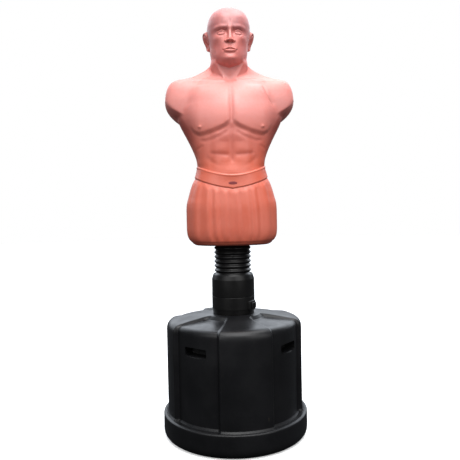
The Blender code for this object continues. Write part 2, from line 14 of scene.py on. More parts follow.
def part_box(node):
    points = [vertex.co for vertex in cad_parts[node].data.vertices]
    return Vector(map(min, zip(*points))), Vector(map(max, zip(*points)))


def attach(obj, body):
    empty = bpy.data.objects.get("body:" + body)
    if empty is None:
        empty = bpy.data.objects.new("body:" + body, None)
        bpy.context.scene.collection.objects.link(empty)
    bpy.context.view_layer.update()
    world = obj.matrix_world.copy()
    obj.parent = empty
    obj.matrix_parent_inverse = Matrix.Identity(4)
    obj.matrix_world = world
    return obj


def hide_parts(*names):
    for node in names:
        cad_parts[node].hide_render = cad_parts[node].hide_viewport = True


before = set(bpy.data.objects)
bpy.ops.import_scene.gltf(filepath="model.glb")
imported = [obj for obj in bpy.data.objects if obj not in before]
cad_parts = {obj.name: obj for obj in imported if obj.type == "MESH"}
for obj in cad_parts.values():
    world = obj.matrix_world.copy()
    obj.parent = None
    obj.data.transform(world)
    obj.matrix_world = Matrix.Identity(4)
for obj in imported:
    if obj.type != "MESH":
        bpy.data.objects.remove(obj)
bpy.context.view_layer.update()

# ---- numbers shared with the CAD ----------------------------------------------------------------

BASE_TURN = math.radians(6.7)
GRIP_TURN = BASE_TURN + math.radians(45)
LATCH_BEARING = GRIP_TURN
PORT_BEARING = BASE_TURN + math.pi
MID_Y = 0.005                    # the torso's sections are drawn round this line


# ---- small maths --------------------------------------------------------------------------------

def smooth(x, low=0.0, high=1.0):
    """0 below low, 1 above high, and an eased step between."""
    t = np.clip((x - low) / (high - low), 0.0, 1.0)
    return t * t * (3 - 2 * t)


def between(x, a, b, c, d):
    """1 from b to c, easing to 0 at a and at d."""
    return smooth(x, a, b) * (1 - smooth(x, c, d))


def bell(x, width):
    return np.exp(-(x / width) ** 2)


def spot(x, z, at, size):
    """A soft round or oval spot, 1 at its middle."""
    return np.exp(-((x - at[0]) / size[0]) ** 2 - ((z - at[1]) / size[1]) ** 2)


def soft_max(a, b, width):
    h = np.clip(0.5 + 0.5 * (a - b) / width, 0.0, 1.0)
    return b + (a - b) * h + width * h * (1 - h)


def soft_min(a, b, width):
    return -soft_max(-a, -b, width)


def curve_through(points, x):
    """A monotone cubic through (x, value) points."""
    px, py = np.array(points, dtype=float).T
    step = np.diff(px)
    slope = np.diff(py) / step
    tangent = np.zeros_like(px)
    for i in range(1, len(px) - 1):
        a, b = slope[i - 1], slope[i]
        if a * b > 0:
            w1, w2 = 2 * step[i] + step[i - 1], step[i] + 2 * step[i - 1]
            tangent[i] = (w1 + w2) / (w1 / a + w2 / b)
    tangent[0], tangent[-1] = slope[0], slope[-1]
    x = np.clip(x, px[0], px[-1])
    i = np.clip(np.searchsorted(px, x, side="right") - 1, 0, len(step) - 1)
    t = (x - px[i]) / step[i]
    return (py[i] * (1 + 2 * t) * (1 - t) ** 2 + py[i + 1] * t * t * (3 - 2 * t)
            + tangent[i] * step[i] * t * (1 - t) ** 2 - tangent[i + 1] * step[i] * t * t * (1 - t))


def away_from(x, z, path):
    """Distance of each (x, z) from a path of points, and how far along it, from 0 to 1, it is nearest."""
    best = np.full(np.shape(x), 1e9)
    along = np.zeros(np.shape(x))
    path = np.array(path, dtype=float)
    lengths = np.linalg.norm(np.diff(path, axis=0), axis=1)
    total, run = lengths.sum(), 0.0
    for (ax, az), (bx, bz), length in zip(path, path[1:], lengths):
        dx, dz = bx - ax, bz - az
        t = np.clip(((x - ax) * dx + (z - az) * dz) / (length * length), 0.0, 1.0)
        d = np.hypot(x - ax - t * dx, z - az - t * dz)
        closer = d < best
        best = np.where(closer, d, best)
        along = np.where(closer, (run + t * length) / total, along)
        run += length
    return best, along


def stroke(x, z, path, width, taper=0.15):
    """A soft line along a path, 1 on it and fading at both ends."""
    d, along = away_from(x, z, path)
    return bell(d, width) * smooth(along, -0.001, taper) * (1 - smooth(along, 1 - taper, 1.001))


def rounded(points, segments=6):
    """A polyline of (radius, z, fillet) corners with its corners rounded, as (radius, z) points."""
    out = []
    for i, (x, z, fillet) in enumerate(points):
        here = Vector((x, z))
        if not fillet or i in (0, len(points) - 1):
            out.append((x, z))
            continue
        before, after = Vector(points[i - 1][:2]) - here, Vector(points[i + 1][:2]) - here
        half = before.angle(after) / 2
        reach = min(fillet / math.tan(half), 0.49 * before.length, 0.49 * after.length)
        start, end = here + before.normalized() * reach, here + after.normalized() * reach
        for k in range(segments + 1):
            t = k / segments
            p = start * (1 - t) ** 2 + here * 2 * t * (1 - t) + end * t * t
            out.append((p.x, p.y))
    return out


# ---- making pieces ------------------------------------------------------------------------------

SHARP_ANGLE = 35                 # degrees between faces, above which an edge stays sharp
ON_AXIS = 1e-6                   # a profile point this near the axis is a tip
WELD = 1e-7


def linked(name, data):
    """A new object in the scene that shows this data."""
    made = bpy.data.objects.new(name, data)
    bpy.context.scene.collection.objects.link(made)
    return made


def add_piece(name, mesh, body, finish, replaced=()):
    piece = linked(name, mesh)
    mesh.name = name
    mesh.materials.append(finish)
    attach(piece, body)
    if replaced:
        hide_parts(*replaced)
    return piece


def smooth_mesh(mesh, angle):
    """The mesh shaded smooth, but for the edges that are sharper than angle in degrees."""
    mesh.shade_smooth()
    mesh.set_sharp_from_angle(angle=math.radians(angle))
    return mesh


def faced_outwards(mesh, weld=0.0):
    """The mesh with its faces turned outwards, after welding points that are closer than weld."""
    bm = bmesh.new()
    bm.from_mesh(mesh)
    if weld:
        bmesh.ops.remove_doubles(bm, verts=bm.verts, dist=weld)
    bmesh.ops.recalc_face_normals(bm, faces=bm.faces)
    bm.to_mesh(mesh)
    bm.free()
    return mesh


def grid_mesh(rows, first_point=None, last_point=None, angle=None):
    """A skin over rows of points, closed round each row, with an optional point at either end."""
    rows = np.asarray(rows, dtype=float)
    count, around = rows.shape[:2]
    verts = [tuple(p) for p in rows.reshape(-1, 3)]
    start = np.arange(count - 1)[:, None] * around
    i = np.arange(around)[None, :]
    j = (i + 1) % around
    faces = np.stack([start + i, start + j, start + around + j, start + around + i], axis=-1).reshape(-1, 4)
    faces = [tuple(int(n) for n in f) for f in faces]
    for point, base, flip in ((first_point, 0, True), (last_point, (count - 1) * around, False)):
        if point is None:
            continue
        verts.append(tuple(point))
        tip = len(verts) - 1
        for k in range(around):
            a, b = base + k, base + (k + 1) % around
            faces.append((b, a, tip) if flip else (a, b, tip))
    mesh = bpy.data.meshes.new("skin")
    mesh.from_pydata(verts, [], faces)
    faced_outwards(mesh)
    mesh.shade_smooth()
    return smooth_mesh(mesh, angle) if angle else mesh


def turned_mesh(profile, segments=96, closed=False):
    """A profile of (radius, z) points turned about Z."""
    points = [p for p in profile if p[0] > ON_AXIS]
    angles = np.linspace(0, math.tau, segments, endpoint=False)
    rows = [[(r * math.cos(a), r * math.sin(a), z) for a in angles] for r, z in points]
    if closed:
        rows.append(rows[0])
    tips = [(0.0, 0.0, z) if r <= ON_AXIS else None for r, z in (profile[0], profile[-1])]
    mesh = grid_mesh(rows, *tips, SHARP_ANGLE)
    return faced_outwards(mesh, WELD) if closed else mesh


def rod_mesh(radius, low, high, segments):
    """A solid rod up the Z axis."""
    return turned_mesh([(0.0, low), (radius, low), (radius, high), (0.0, high)], segments)


def placed(mesh, matrix):
    mesh.transform(matrix)
    return mesh


def shift(x, y, z):
    return Matrix.Translation((x, y, z))


def spun(degrees, axis="Z"):
    return Matrix.Rotation(math.radians(degrees), 4, axis)


def outward_frame(bearing, height=0.0, distance=0.0):
    """A matrix whose +X points outwards along a bearing."""
    spin = Matrix.Rotation(bearing - math.pi / 2, 4, "Z")
    return spin @ Matrix.Translation((distance, 0.0, height))


def block_mesh(size, edge, segments=4):
    """A box round the origin with rounded edges."""
    bm = bmesh.new()
    bmesh.ops.create_cube(bm, size=1.0, matrix=Matrix.Diagonal((*size, 1.0)))
    bmesh.ops.bevel(bm, geom=bm.edges, offset=edge, segments=segments, affect="EDGES", profile=0.5)
    mesh = bpy.data.meshes.new("block")
    bm.to_mesh(mesh)
    bm.free()
    return smooth_mesh(mesh, SHARP_ANGLE)


def carved(mesh, cutters, angle=30):
    """The mesh with the cutters' meshes taken out of it."""
    body = linked("carve_body", mesh)
    tools = []
    for cutter in cutters:
        tool = linked("carve_tool", cutter)
        cut = body.modifiers.new("cut", "BOOLEAN")
        cut.operation = "DIFFERENCE"
        cut.solver = "EXACT"
        cut.object = tool
        tools.append(tool)
    bpy.context.view_layer.update()
    made = bpy.data.meshes.new_from_object(body.evaluated_get(bpy.context.evaluated_depsgraph_get()))
    for extra in (body, *tools):
        bpy.data.objects.remove(extra)
    return smooth_mesh(made, angle)


# ---- torso --------------------------------------------------------------------------------------

CHEST_WIDTH = [
    (0.76, 0.146), (0.768, 0.158), (0.785, 0.1725), (0.799, 0.1768), (0.823, 0.179), (0.896, 0.1788),
    (0.92, 0.177), (0.944, 0.1705), (0.968, 0.164), (0.992, 0.156), (1.016, 0.147), (1.04, 0.1395),
    (1.064, 0.1343), (1.088, 0.136), (1.112, 0.1425), (1.136, 0.152), (1.16, 0.163), (1.184, 0.175),
    (1.208, 0.1875), (1.231, 0.199), (1.255, 0.208), (1.275, 0.211), (1.3, 0.207), (1.33, 0.197),
    (1.36, 0.18), (1.385, 0.158), (1.402, 0.132), (1.418, 0.095), (1.44, 0.06),
]
CHEST_FRONT = [
    (0.76, 0.105), (0.7665, 0.118), (0.779, 0.127), (0.83, 0.134), (0.895, 0.135), (0.95, 0.131),
    (1.0, 0.126), (1.045, 0.121), (1.08, 0.116), (1.13, 0.115), (1.19, 0.118), (1.23, 0.1208),
    (1.255, 0.1215), (1.275, 0.1206), (1.295, 0.1182), (1.32, 0.1125), (1.35, 0.101), (1.378, 0.085),
    (1.396, 0.07), (1.41, 0.052), (1.425, 0.036), (1.44, 0.025),
]
CHEST_BACK = [
    (0.76, 0.1), (0.768, 0.114), (0.785, 0.125), (0.83, 0.134), (0.88, 0.138), (0.93, 0.132), (0.98, 0.117),
    (1.02, 0.105), (1.06, 0.097), (1.1, 0.097), (1.16, 0.105), (1.22, 0.115), (1.28, 0.121), (1.33, 0.119),
    (1.37, 0.108), (1.4, 0.094), (1.42, 0.081), (1.44, 0.067),
]
ARM_WIDTH = [
    (1.19, 0.256), (1.29, 0.2575), (1.315, 0.258), (1.34, 0.2565), (1.36, 0.2535), (1.375, 0.2495),
    (1.388, 0.2435), (1.397, 0.2375), (1.404, 0.2305), (1.409, 0.2225), (1.413, 0.212), (1.4165, 0.198),
    (1.4195, 0.181), (1.4235, 0.1605), (1.428, 0.145), (1.434, 0.13), (1.441, 0.115), (1.448, 0.102),
    (1.455, 0.0915), (1.462, 0.0815), (1.47, 0.064), (1.48, 0.04),
]
ARM_FRONT = [
    (1.19, 0.062), (1.3, 0.066), (1.33, 0.068), (1.36, 0.064), (1.385, 0.055), (1.402, 0.042),
    (1.412, 0.028), (1.42, 0.018), (1.435, 0.013), (1.48, 0.01),
]
ARM_BACK = [
    (1.19, 0.06), (1.3, 0.066), (1.335, 0.07), (1.365, 0.07), (1.385, 0.068), (1.402, 0.064), (1.42, 0.058),
    (1.45, 0.058), (1.48, 0.05),
]
NECK_WIDTH = [
    (1.36, 0.052), (1.4, 0.06), (1.42, 0.0635), (1.44, 0.068), (1.455, 0.0725), (1.469, 0.075),
    (1.492, 0.0712), (1.516, 0.07), (1.54, 0.066), (1.57, 0.05), (1.6, 0.03),
]
NECK_FRONT = [
    (1.36, 0.04), (1.395, 0.052), (1.41, 0.0555), (1.43, 0.0575), (1.45, 0.061), (1.47, 0.068),
    (1.5, 0.076), (1.54, 0.07), (1.6, 0.03),
]
NECK_BACK = [
    (1.36, 0.06), (1.4, 0.064), (1.44, 0.065), (1.48, 0.066), (1.51, 0.069), (1.54, 0.073), (1.57, 0.06),
    (1.6, 0.03),
]
HEAD_WIDTH = [
    (1.446, 0.006), (1.451, 0.02), (1.456, 0.033), (1.463, 0.0445), (1.473, 0.0555), (1.487, 0.063),
    (1.506, 0.0685), (1.525, 0.0725), (1.545, 0.0768), (1.57, 0.0822), (1.592, 0.0848), (1.61, 0.0853),
    (1.633, 0.0815), (1.65, 0.0755), (1.664, 0.0665), (1.675, 0.0545), (1.683, 0.042), (1.689, 0.029),
    (1.6925, 0.018), (1.694, 0.008),
]
HEAD_FRONT = [
    (1.446, 0.05), (1.452, 0.072), (1.4565, 0.086), (1.462, 0.0985), (1.469, 0.106), (1.48, 0.1095),
    (1.498, 0.1105), (1.52, 0.1115), (1.545, 0.1115), (1.57, 0.1115), (1.59, 0.114), (1.605, 0.1145),
    (1.625, 0.1105), (1.645, 0.0995), (1.662, 0.0835), (1.675, 0.0645), (1.683, 0.048), (1.689, 0.033),
    (1.6925, 0.02), (1.694, 0.008),
]
HEAD_BACK = [
    (1.452, 0.01), (1.48, 0.03), (1.51, 0.055), (1.53, 0.075), (1.55, 0.0845), (1.575, 0.0905),
    (1.6, 0.0925), (1.625, 0.089), (1.648, 0.0775), (1.664, 0.063), (1.676, 0.0475), (1.684, 0.034),
    (1.689, 0.0245), (1.6925, 0.015), (1.694, 0.008),
]
STUMP_NORMAL = Vector((0.66, -0.33, -0.66)).normalized()
STUMP_POINT = Vector((0.216, 0.005, 1.28))
STUMP_BULGE, STUMP_REACH = 0.012, 0.06
HIDDEN = 0.02                    # a part's radius at heights where it is not part of the body
TOP_ROW_Z, CROWN_Z = 1.694, 1.6942
CORE_BORE_TOP = 1.1606           # where the bore for the core tube ends
BELLY_MIDDLE, BELLY_SIZE, BELLY_BULGE = (0.0, 1.04), (0.056, 0.025), 0.0062
BADGE_Z, BADGE_SIZE = 0.9985, (0.034, 0.012)


def column_bearings(count=384):
    """Bearings of the torso's columns, closer together on the face and the ears than at the back."""
    fine = np.linspace(-math.pi, math.pi, 4001)
    density = 0.62 + 1.25 * bell(fine, 0.62) + 0.35 * bell(np.abs(fine) - 1.62, 0.3)
    run = np.concatenate([[0.0], np.cumsum((density[1:] + density[:-1]) / 2)])
    return np.interp((np.arange(count) + 0.5) / count * run[-1], run, fine)


def row_heights():
    """Heights of the torso's rows, closer together where it turns or is finely shaped."""
    spans = [(0.76, 0.79, 0.0018), (0.79, 0.965, 0.004), (0.965, 1.075, 0.0019), (1.075, 1.235, 0.0026),
             (1.235, 1.33, 0.002), (1.33, 1.385, 0.0026), (1.385, 1.444, 0.0013), (1.444, 1.48, 0.001),
             (1.48, 1.61, 0.0014), (1.61, 1.67, 0.0022), (1.67, 1.688, 0.0013), (1.688, 1.6937, 0.0005)]
    rows = []
    for low, high, step in spans:
        count = max(1, round((high - low) / step))
        rows += [low + (high - low) * i / count for i in range(count)]
    return np.array(rows + [TOP_ROW_Z])


def section_radius(bearing, width, front, back, squareness_front, squareness_back):
    """Distance from the middle line to a superellipse's edge, along each bearing from -Y."""
    s, c = np.abs(np.sin(bearing)), np.cos(bearing)
    ahead = c > 0
    depth = np.where(ahead, front, back)
    power = np.where(ahead, squareness_front, squareness_back)
    return (np.abs(s / width) ** power + np.abs(c / depth) ** power) ** (-1.0 / power)


def stump_radius(bearing, z):
    """Distance out to an arm's cut end: a slanted plane, domed a little."""
    n, p = STUMP_NORMAL, STUMP_POINT
    s, c = np.abs(np.sin(bearing)), np.cos(bearing)
    side = np.maximum(n.x * s - n.y * c, 0.05)
    flat = (n.x * p.x + n.y * (p.y - MID_Y) + n.z * (p.z - z)) / side
    x, y = flat * s - p.x, MID_Y - flat * c - p.y
    along = Vector((-n.z, 0.0, n.x)).normalized()
    across = n.cross(along)
    u = (x * along.x + (z - p.z) * along.z) / STUMP_REACH
    v = (x * across.x + y * across.y + (z - p.z) * across.z) / STUMP_REACH
    dome = STUMP_BULGE * np.clip(1 - u * u - v * v, 0.0, 1.0)
    return np.where(n.x * s - n.y * c > 0.05, np.maximum(flat + dome / side, HIDDEN), 1.0)


def torso_radius(bearing, z):
    """The plain body: chest and hips, arms cut off at a slant, neck and head, run softly together."""
    def table(points):
        return curve_through(points, z)

    rib_cage = between(z, 1.1, 1.21, 1.31, 1.39)
    chest = section_radius(bearing, table(CHEST_WIDTH), table(CHEST_FRONT), table(CHEST_BACK),
                           2.35 - 0.55 * rib_cage, 2.25)
    chest = np.where(z < 1.441, chest, HIDDEN)
    arm = section_radius(bearing, table(ARM_WIDTH), table(ARM_FRONT), table(ARM_BACK), 2.3, 2.3)
    arm = soft_min(arm, stump_radius(bearing, z), 0.004)
    arm = np.where((z > 1.2) & (z < 1.479), arm, HIDDEN)
    neck = section_radius(bearing, table(NECK_WIDTH), table(NECK_FRONT), table(NECK_BACK), 2.1, 2.1)
    neck = np.where((z > 1.361) & (z < 1.599), neck, HIDDEN)
    head = section_radius(bearing, table(HEAD_WIDTH), table(HEAD_FRONT), table(HEAD_BACK), 2.2, 2.1)
    head = np.where(z > 1.4461, head, HIDDEN)
    body = soft_max(chest, arm, 0.01)
    body = np.where(z < 1.6, soft_max(body, neck, 0.016), 0.0005)  # above, only the head counts
    return soft_max(body, head, 0.006 + 0.01 * between(z, 1.48, 1.52, 1.55, 1.6))


def pec_edge(x):
    """Height of the chest muscles' lower edge."""
    return curve_through([(0.0, 1.236), (0.014, 1.226), (0.036, 1.212), (0.06, 1.2025), (0.09, 1.1935),
                          (0.116, 1.1895), (0.135, 1.196), (0.155, 1.216), (0.175, 1.244), (0.2, 1.285)], x)


def relief(x, z, spots, strokes):
    """(height, shade) of a table of (middle, size, height, shade) spots and one of strokes.

    A stroke is (path, width, taper, height, shade).
    """
    height, shade = np.zeros_like(x), np.zeros_like(x)
    marks = [(spot(x, z, at, size), high, dark) for at, size, high, dark in spots]
    marks += [(stroke(x, z, path, width, taper), high, dark) for path, width, taper, high, dark in strokes]
    for mark, high, dark in marks:
        height += high * mark
        shade += dark * mark
    return height, shade


CHEST_SPOTS = [  # nipple, three belly muscles, the side above the hip, navel
    ((0.1165, 1.2175), (0.0046, 0.0046), 0.0034, 0.0), ((0.1165, 1.2175), (0.012, 0.011), 0.001, 0.0),
    ((0.034, 1.132), (0.028, 0.015), 0.0014, 0.0), ((0.034, 1.086), (0.028, 0.015), 0.0014, 0.0),
    ((0.034, 1.18), (0.028, 0.015), 0.001, 0.0), ((0.118, 1.085), (0.026, 0.026), 0.004, 0.0),
    ((0.0, 1.088), (0.005, 0.0085), -0.001, 0.16),
]
CHEST_STROKES = [
    # edge of the rib cage
    ([(0.012, 1.199), (0.035, 1.184), (0.065, 1.171), (0.098, 1.162), (0.128, 1.166)], 0.0075, 0.15,
     -0.0018, 0.15),
    ([(0.105, 1.15), (0.125, 1.136), (0.14, 1.13)], 0.006, 0.35, -0.0012, 0.0),
    # creases across the belly
    ([(0.004, 1.106), (0.03, 1.1085), (0.06, 1.111), (0.092, 1.116)], 0.008, 0.22, -0.0018, 0.22),
    ([(0.006, 1.158), (0.03, 1.157), (0.052, 1.16)], 0.0055, 0.3, -0.0004, 0.04),
    # groin
    ([(0.03, 1.06), (0.06, 1.07), (0.088, 1.09), (0.104, 1.118)], 0.008, 0.35, -0.0009, 0.08),
]


def chest_relief(x, z):
    """Muscles on the front of the trunk: (height, shade), x being the distance from the middle."""
    height, shade = relief(x, z, CHEST_SPOTS, CHEST_STROKES)
    over = z - pec_edge(x)
    plate = smooth(over, -0.012, 0.014) * (0.35 + 0.65 * bell(over - 0.014, 0.085))
    plate = plate * between(x, -0.006, 0.022, 0.118, 0.172) * (1 - smooth(z, 1.33, 1.4))
    under = bell(over + 0.005, 0.0065) * between(x, 0.012, 0.035, 0.135, 0.165)
    groove = bell(x, 0.0075) * between(z, 1.222, 1.25, 1.372, 1.4)
    flank = smooth(x, 0.12, 0.175) * between(z, 1.1, 1.19, 1.285, 1.33)
    below = smooth(-over, 0.0, 0.022) * smooth(z, 1.068, 1.11)
    sheath = (1 - smooth(x, 0.056, 0.086)) * between(z, 1.04, 1.075, 1.18, 1.215)
    middle = bell(x, 0.0095) * between(z, 1.072, 1.1, 1.205, 1.232)
    height += 0.0092 * plate - 0.0006 * under - 0.0022 * groove + 0.0036 * sheath - 0.0016 * middle
    # painted shade in the grooves, down the flanks and under the chest
    shade += 0.06 * under + 0.12 * groove + 0.42 * flank + 0.36 * below + 0.12 * middle
    return height, shade


COLLAR_SPOTS = [
    ((0.0, 1.4), (0.013, 0.01), -0.0044, 0.15),  # pit of the neck
    ((0.062, 1.412), (0.022, 0.012), -0.002, 0.1),  # hollow above the bone
    ((0.0, 1.437), (0.016, 0.018), 0.0018, 0.0),  # throat
]
COLLAR_STROKES = [  # the bone, and the line below it
    ([(0.016, 1.399), (0.06, 1.3975), (0.105, 1.4), (0.15, 1.402)], 0.006, 0.1, 0.0036, 0.0),
    ([(0.05, 1.3825), (0.1, 1.384), (0.15, 1.385)], 0.0055, 0.3, -0.0016, 0.05),
]
NECK_CORD = [(0.012, 1.396), (0.023, 1.413), (0.037, 1.436), (0.05, 1.462), (0.058, 1.486)]
SHOULDER_GROOVE = [(0.126, 1.388), (0.132, 1.368), (0.143, 1.342), (0.158, 1.317), (0.174, 1.292)]


def collar_bone_relief(side_x, z):
    """Collar bones, the pit of the neck, its cords and the groove before each shoulder."""
    x = np.abs(side_x)
    height, shade = relief(x, z, COLLAR_SPOTS, COLLAR_STROKES)
    cord = stroke(x, z, NECK_CORD, 0.007, 0.2)
    groove = stroke(x, z, SHOULDER_GROOVE, 0.0058, 0.22) * (0.25 + 0.75 * smooth(side_x, -0.05, 0.05))
    under_chin = bell(x, 0.055) * smooth(z, 1.405, 1.44)
    height += 0.0036 * cord - 0.0048 * groove
    return height, shade + 0.3 * groove + 0.08 * under_chin * (1 - 0.8 * cord)


BACK_SPOTS = [
    ((0.04, 1.11), (0.024, 0.085), 0.006, 0.0),  # long muscles
    ((0.098, 1.305), (0.046, 0.052), 0.0085, 0.0),  # shoulder blade
    ((0.128, 1.215), (0.036, 0.05), 0.006, 0.0), ((0.036, 1.062), (0.011, 0.01), -0.003, 0.0),
]
BACK_STROKES = [  # the blade's inner edge, its ridge, and the muscle beside the spine
    ([(0.046, 1.35), (0.05, 1.31), (0.066, 1.262), (0.1, 1.238)], 0.0085, 0.25, -0.0036, 0.22),
    ([(0.06, 1.362), (0.105, 1.368), (0.15, 1.372)], 0.0085, 0.25, 0.0034, 0.0),
    ([(0.014, 1.225), (0.035, 1.285), (0.05, 1.345)], 0.01, 0.3, 0.0022, 0.0),
]


def back_relief(x, z):
    """Spine, shoulder blades and the long muscles of the back."""
    height, shade = relief(x, z, BACK_SPOTS, BACK_STROKES)
    spine = bell(x, 0.011) * between(z, 1.03, 1.075, 1.385, 1.44)
    return height - 0.0085 * spine, shade + 0.45 * spine


def shorts_relief(side_x, bearing, z):
    """Waistband, its grooves, the gathered folds and the seat of the shorts."""
    turn = np.minimum(np.abs(bearing), math.pi / 2)
    rise = np.sin(turn) ** 2
    top = 1.029 + 0.04 * rise
    notch = 0.0026 * bell(bearing, 0.075)
    bottom = 0.9815 + 0.043 * rise - notch
    band = smooth(z, bottom - 0.0012, bottom + 0.0012) * (1 - smooth(z, top - 0.001, top + 0.0022))
    bead = bell(z - (top - 0.0032), 0.0026)
    line = bell(z - (bottom - 0.0022), 0.002)
    height = 0.0026 * band + 0.0013 * bead - 0.0013 * line
    shade = 0.6 * line - 0.18 * bead

    below = np.clip(bottom - z, 0.0, 1.0)
    cloth = smooth(z, bottom + 0.0015, bottom - 0.002)
    height += 0.0022 * cloth * smooth(below, 0.0, 0.02)
    folds = [  # bearing at the band, drift to the hem, height, width, all in radians but the height
        (-1.3, -0.04, 0.003, 0.085), (-0.98, -0.03, 0.0034, 0.085), (-0.69, 0.02, 0.0046, 0.07),
        (-0.48, 0.04, 0.005, 0.062), (-0.225, 0.03, 0.004, 0.072), (0.075, 0.11, 0.0042, 0.072),
        (0.375, 0.08, 0.004, 0.072), (0.57, 0.06, 0.004, 0.07), (0.9, 0.04, 0.0036, 0.085),
        (1.26, 0.03, 0.003, 0.09), (1.64, 0.02, 0.0028, 0.1), (-1.66, -0.02, 0.0028, 0.1),
        (2.02, 0.03, 0.003, 0.1), (-2.04, 0.02, 0.003, 0.1), (2.42, -0.03, 0.0028, 0.09),
        (-2.4, 0.03, 0.0028, 0.09), (2.78, 0.0, 0.0024, 0.08), (-2.78, 0.02, 0.0024, 0.08),
    ]
    for at, drift, size, width in folds:
        away = bearing - (at + drift * below / 0.22)
        away = (away + math.pi) % math.tau - math.pi
        shape = bell(away, 1.2 * width) - 0.45 * bell(away - 1.4 * width, 0.7 * width)
        grow = smooth(below, 0.003, 0.03) * smooth(z, 0.764, 0.8)
        height += 0.68 * size * cloth * grow * shape
        shade += 0.1 * cloth * grow * bell(away - 1.2 * width, 0.8 * width)
    gather = np.sin(bearing * 31 + 1.7 * np.sin(bearing * 7)) * bell(below - 0.01, 0.012)
    height += 0.0003 * gather * cloth
    shade += 0.16 * cloth * bell(side_x, 0.06) * smooth(below, 0.004, 0.03)
    behind = smooth(-np.cos(bearing), 0.1, 0.6)
    seat = spot(np.abs(side_x), z, (0.072, 0.868), (0.062, 0.062))
    height += behind * (0.0085 * seat - 0.0045 * bell(side_x, 0.014) * bell(z - 0.862, 0.07))
    hem = bell(z - 0.772, 0.003)
    edge = bell(z - 0.764, 0.0032)
    return height - 0.0008 * hem + 0.0006 * edge, shade + 0.3 * hem - 0.45 * edge


UPPER_LID = [(0.0172, 1.5682), (0.0235, 1.5742), (0.032, 1.5768), (0.041, 1.5748), (0.049, 1.569)]
FACE_SPOTS = [
    ((0.03, 1.636), (0.026, 0.02), 0.003, 0.0),  # forehead
    ((0.0, 1.594), (0.014, 0.011), 0.0026, 0.0), ((0.0, 1.612), (0.005, 0.012), -0.0016, 0.0),
    ((0.0325, 1.573), (0.0215, 0.011), -0.0074, 0.15),  # eye socket and its inner corner
    ((0.0155, 1.5735), (0.0075, 0.008), -0.0034, 0.06),
    ((0.05, 1.55), (0.0185, 0.0125), 0.0048, 0.0),  # cheek bone, cheek and its hollow
    ((0.03, 1.535), (0.013, 0.014), 0.002, 0.0), ((0.052, 1.515), (0.015, 0.018), -0.0032, 0.0),
    ((0.0082, 1.5312), (0.0042, 0.002), -0.0045, 0.65),  # nostril and the nose's underside
    ((0.0, 1.5295), (0.015, 0.0032), 0.0, 0.2),
    ((0.0, 1.508), (0.03, 0.017), 0.0052, 0.0),  # round the mouth, and its corner
    ((0.0265, 1.5025), (0.0035, 0.0035), -0.0016, 0.25),
    ((0.0, 1.474), (0.021, 0.0095), 0.0046, 0.0),  # chin
]
FACE_STROKES = [
    # brow
    ([(0.009, 1.5865), (0.022, 1.5895), (0.038, 1.592), (0.052, 1.5895), (0.062, 1.583)], 0.0075, 0.16,
     0.0034, 0.0),
    # the lids, the line under the upper lid, the fold over it and the one under the eye
    (UPPER_LID, 0.0017, 0.1, 0.0019, 0.0),
    ([(0.0176, 1.5674), (0.025, 1.5645), (0.0335, 1.5632), (0.042, 1.5645), (0.0488, 1.5684)], 0.0016, 0.12,
     0.0012, 0.0),
    ([(a, b - 0.0022) for a, b in UPPER_LID], 0.0011, 0.12, -0.0011, 0.55),
    ([(0.019, 1.5755), (0.025, 1.5805), (0.034, 1.5822), (0.043, 1.5795), (0.05, 1.573)], 0.0013, 0.15,
     -0.0013, 0.35),
    ([(0.018, 1.561), (0.027, 1.557), (0.037, 1.5568), (0.046, 1.561)], 0.0018, 0.25, -0.001, 0.22),
    # from the nose past the mouth, and round the nose's wing
    ([(0.0205, 1.537), (0.0255, 1.527), (0.0315, 1.512), (0.0325, 1.499)], 0.0026, 0.25, -0.0009, 0.08),
    ([(0.0165, 1.544), (0.02, 1.539), (0.0205, 1.533)], 0.0014, 0.25, -0.001, 0.28),
    # the groove under the nose, the lips, the line between them and the fold over the chin
    ([(0.0, 1.527), (0.0, 1.513)], 0.0028, 0.25, -0.0013, 0.0),
    ([(0.0, 1.5098), (0.006, 1.5112), (0.015, 1.508), (0.0245, 1.5042)], 0.0028, 0.03, 0.003, 0.0),
    ([(0.0, 1.4985), (0.009, 1.4988), (0.017, 1.5008), (0.0225, 1.503)], 0.0036, 0.03, 0.0032, 0.0),
    ([(0.0, 1.5048), (0.006, 1.5056), (0.014, 1.5042), (0.0255, 1.503)], 0.0013, 0.03, -0.003, 0.6),
    ([(0.0, 1.49), (0.01, 1.4907), (0.019, 1.494)], 0.0042, 0.05, -0.0016, 0.12),
]
EYE_MIDDLE, EYE_HALF = (0.0325, 1.57), (0.0148, 0.0066)
WING_MIDDLE, WING_HALF = (0.0135, 1.5362), (0.0082, 0.007)  # a nose wing
NOSE_LOW, NOSE_HIGH = 1.527, 1.605
NOSE_PUSH = [
    (1.527, 0.0), (1.53, 0.001), (1.5325, 0.0125), (1.536, 0.0192), (1.542, 0.0205), (1.552, 0.0172),
    (1.564, 0.0125), (1.576, 0.0082), (1.586, 0.0052), (1.596, 0.001), (1.605, 0.0),
]
NOSE_HALF = [
    (1.527, 0.008), (1.534, 0.0088), (1.542, 0.0078), (1.552, 0.006), (1.565, 0.0052), (1.58, 0.0064),
    (1.605, 0.012),
]


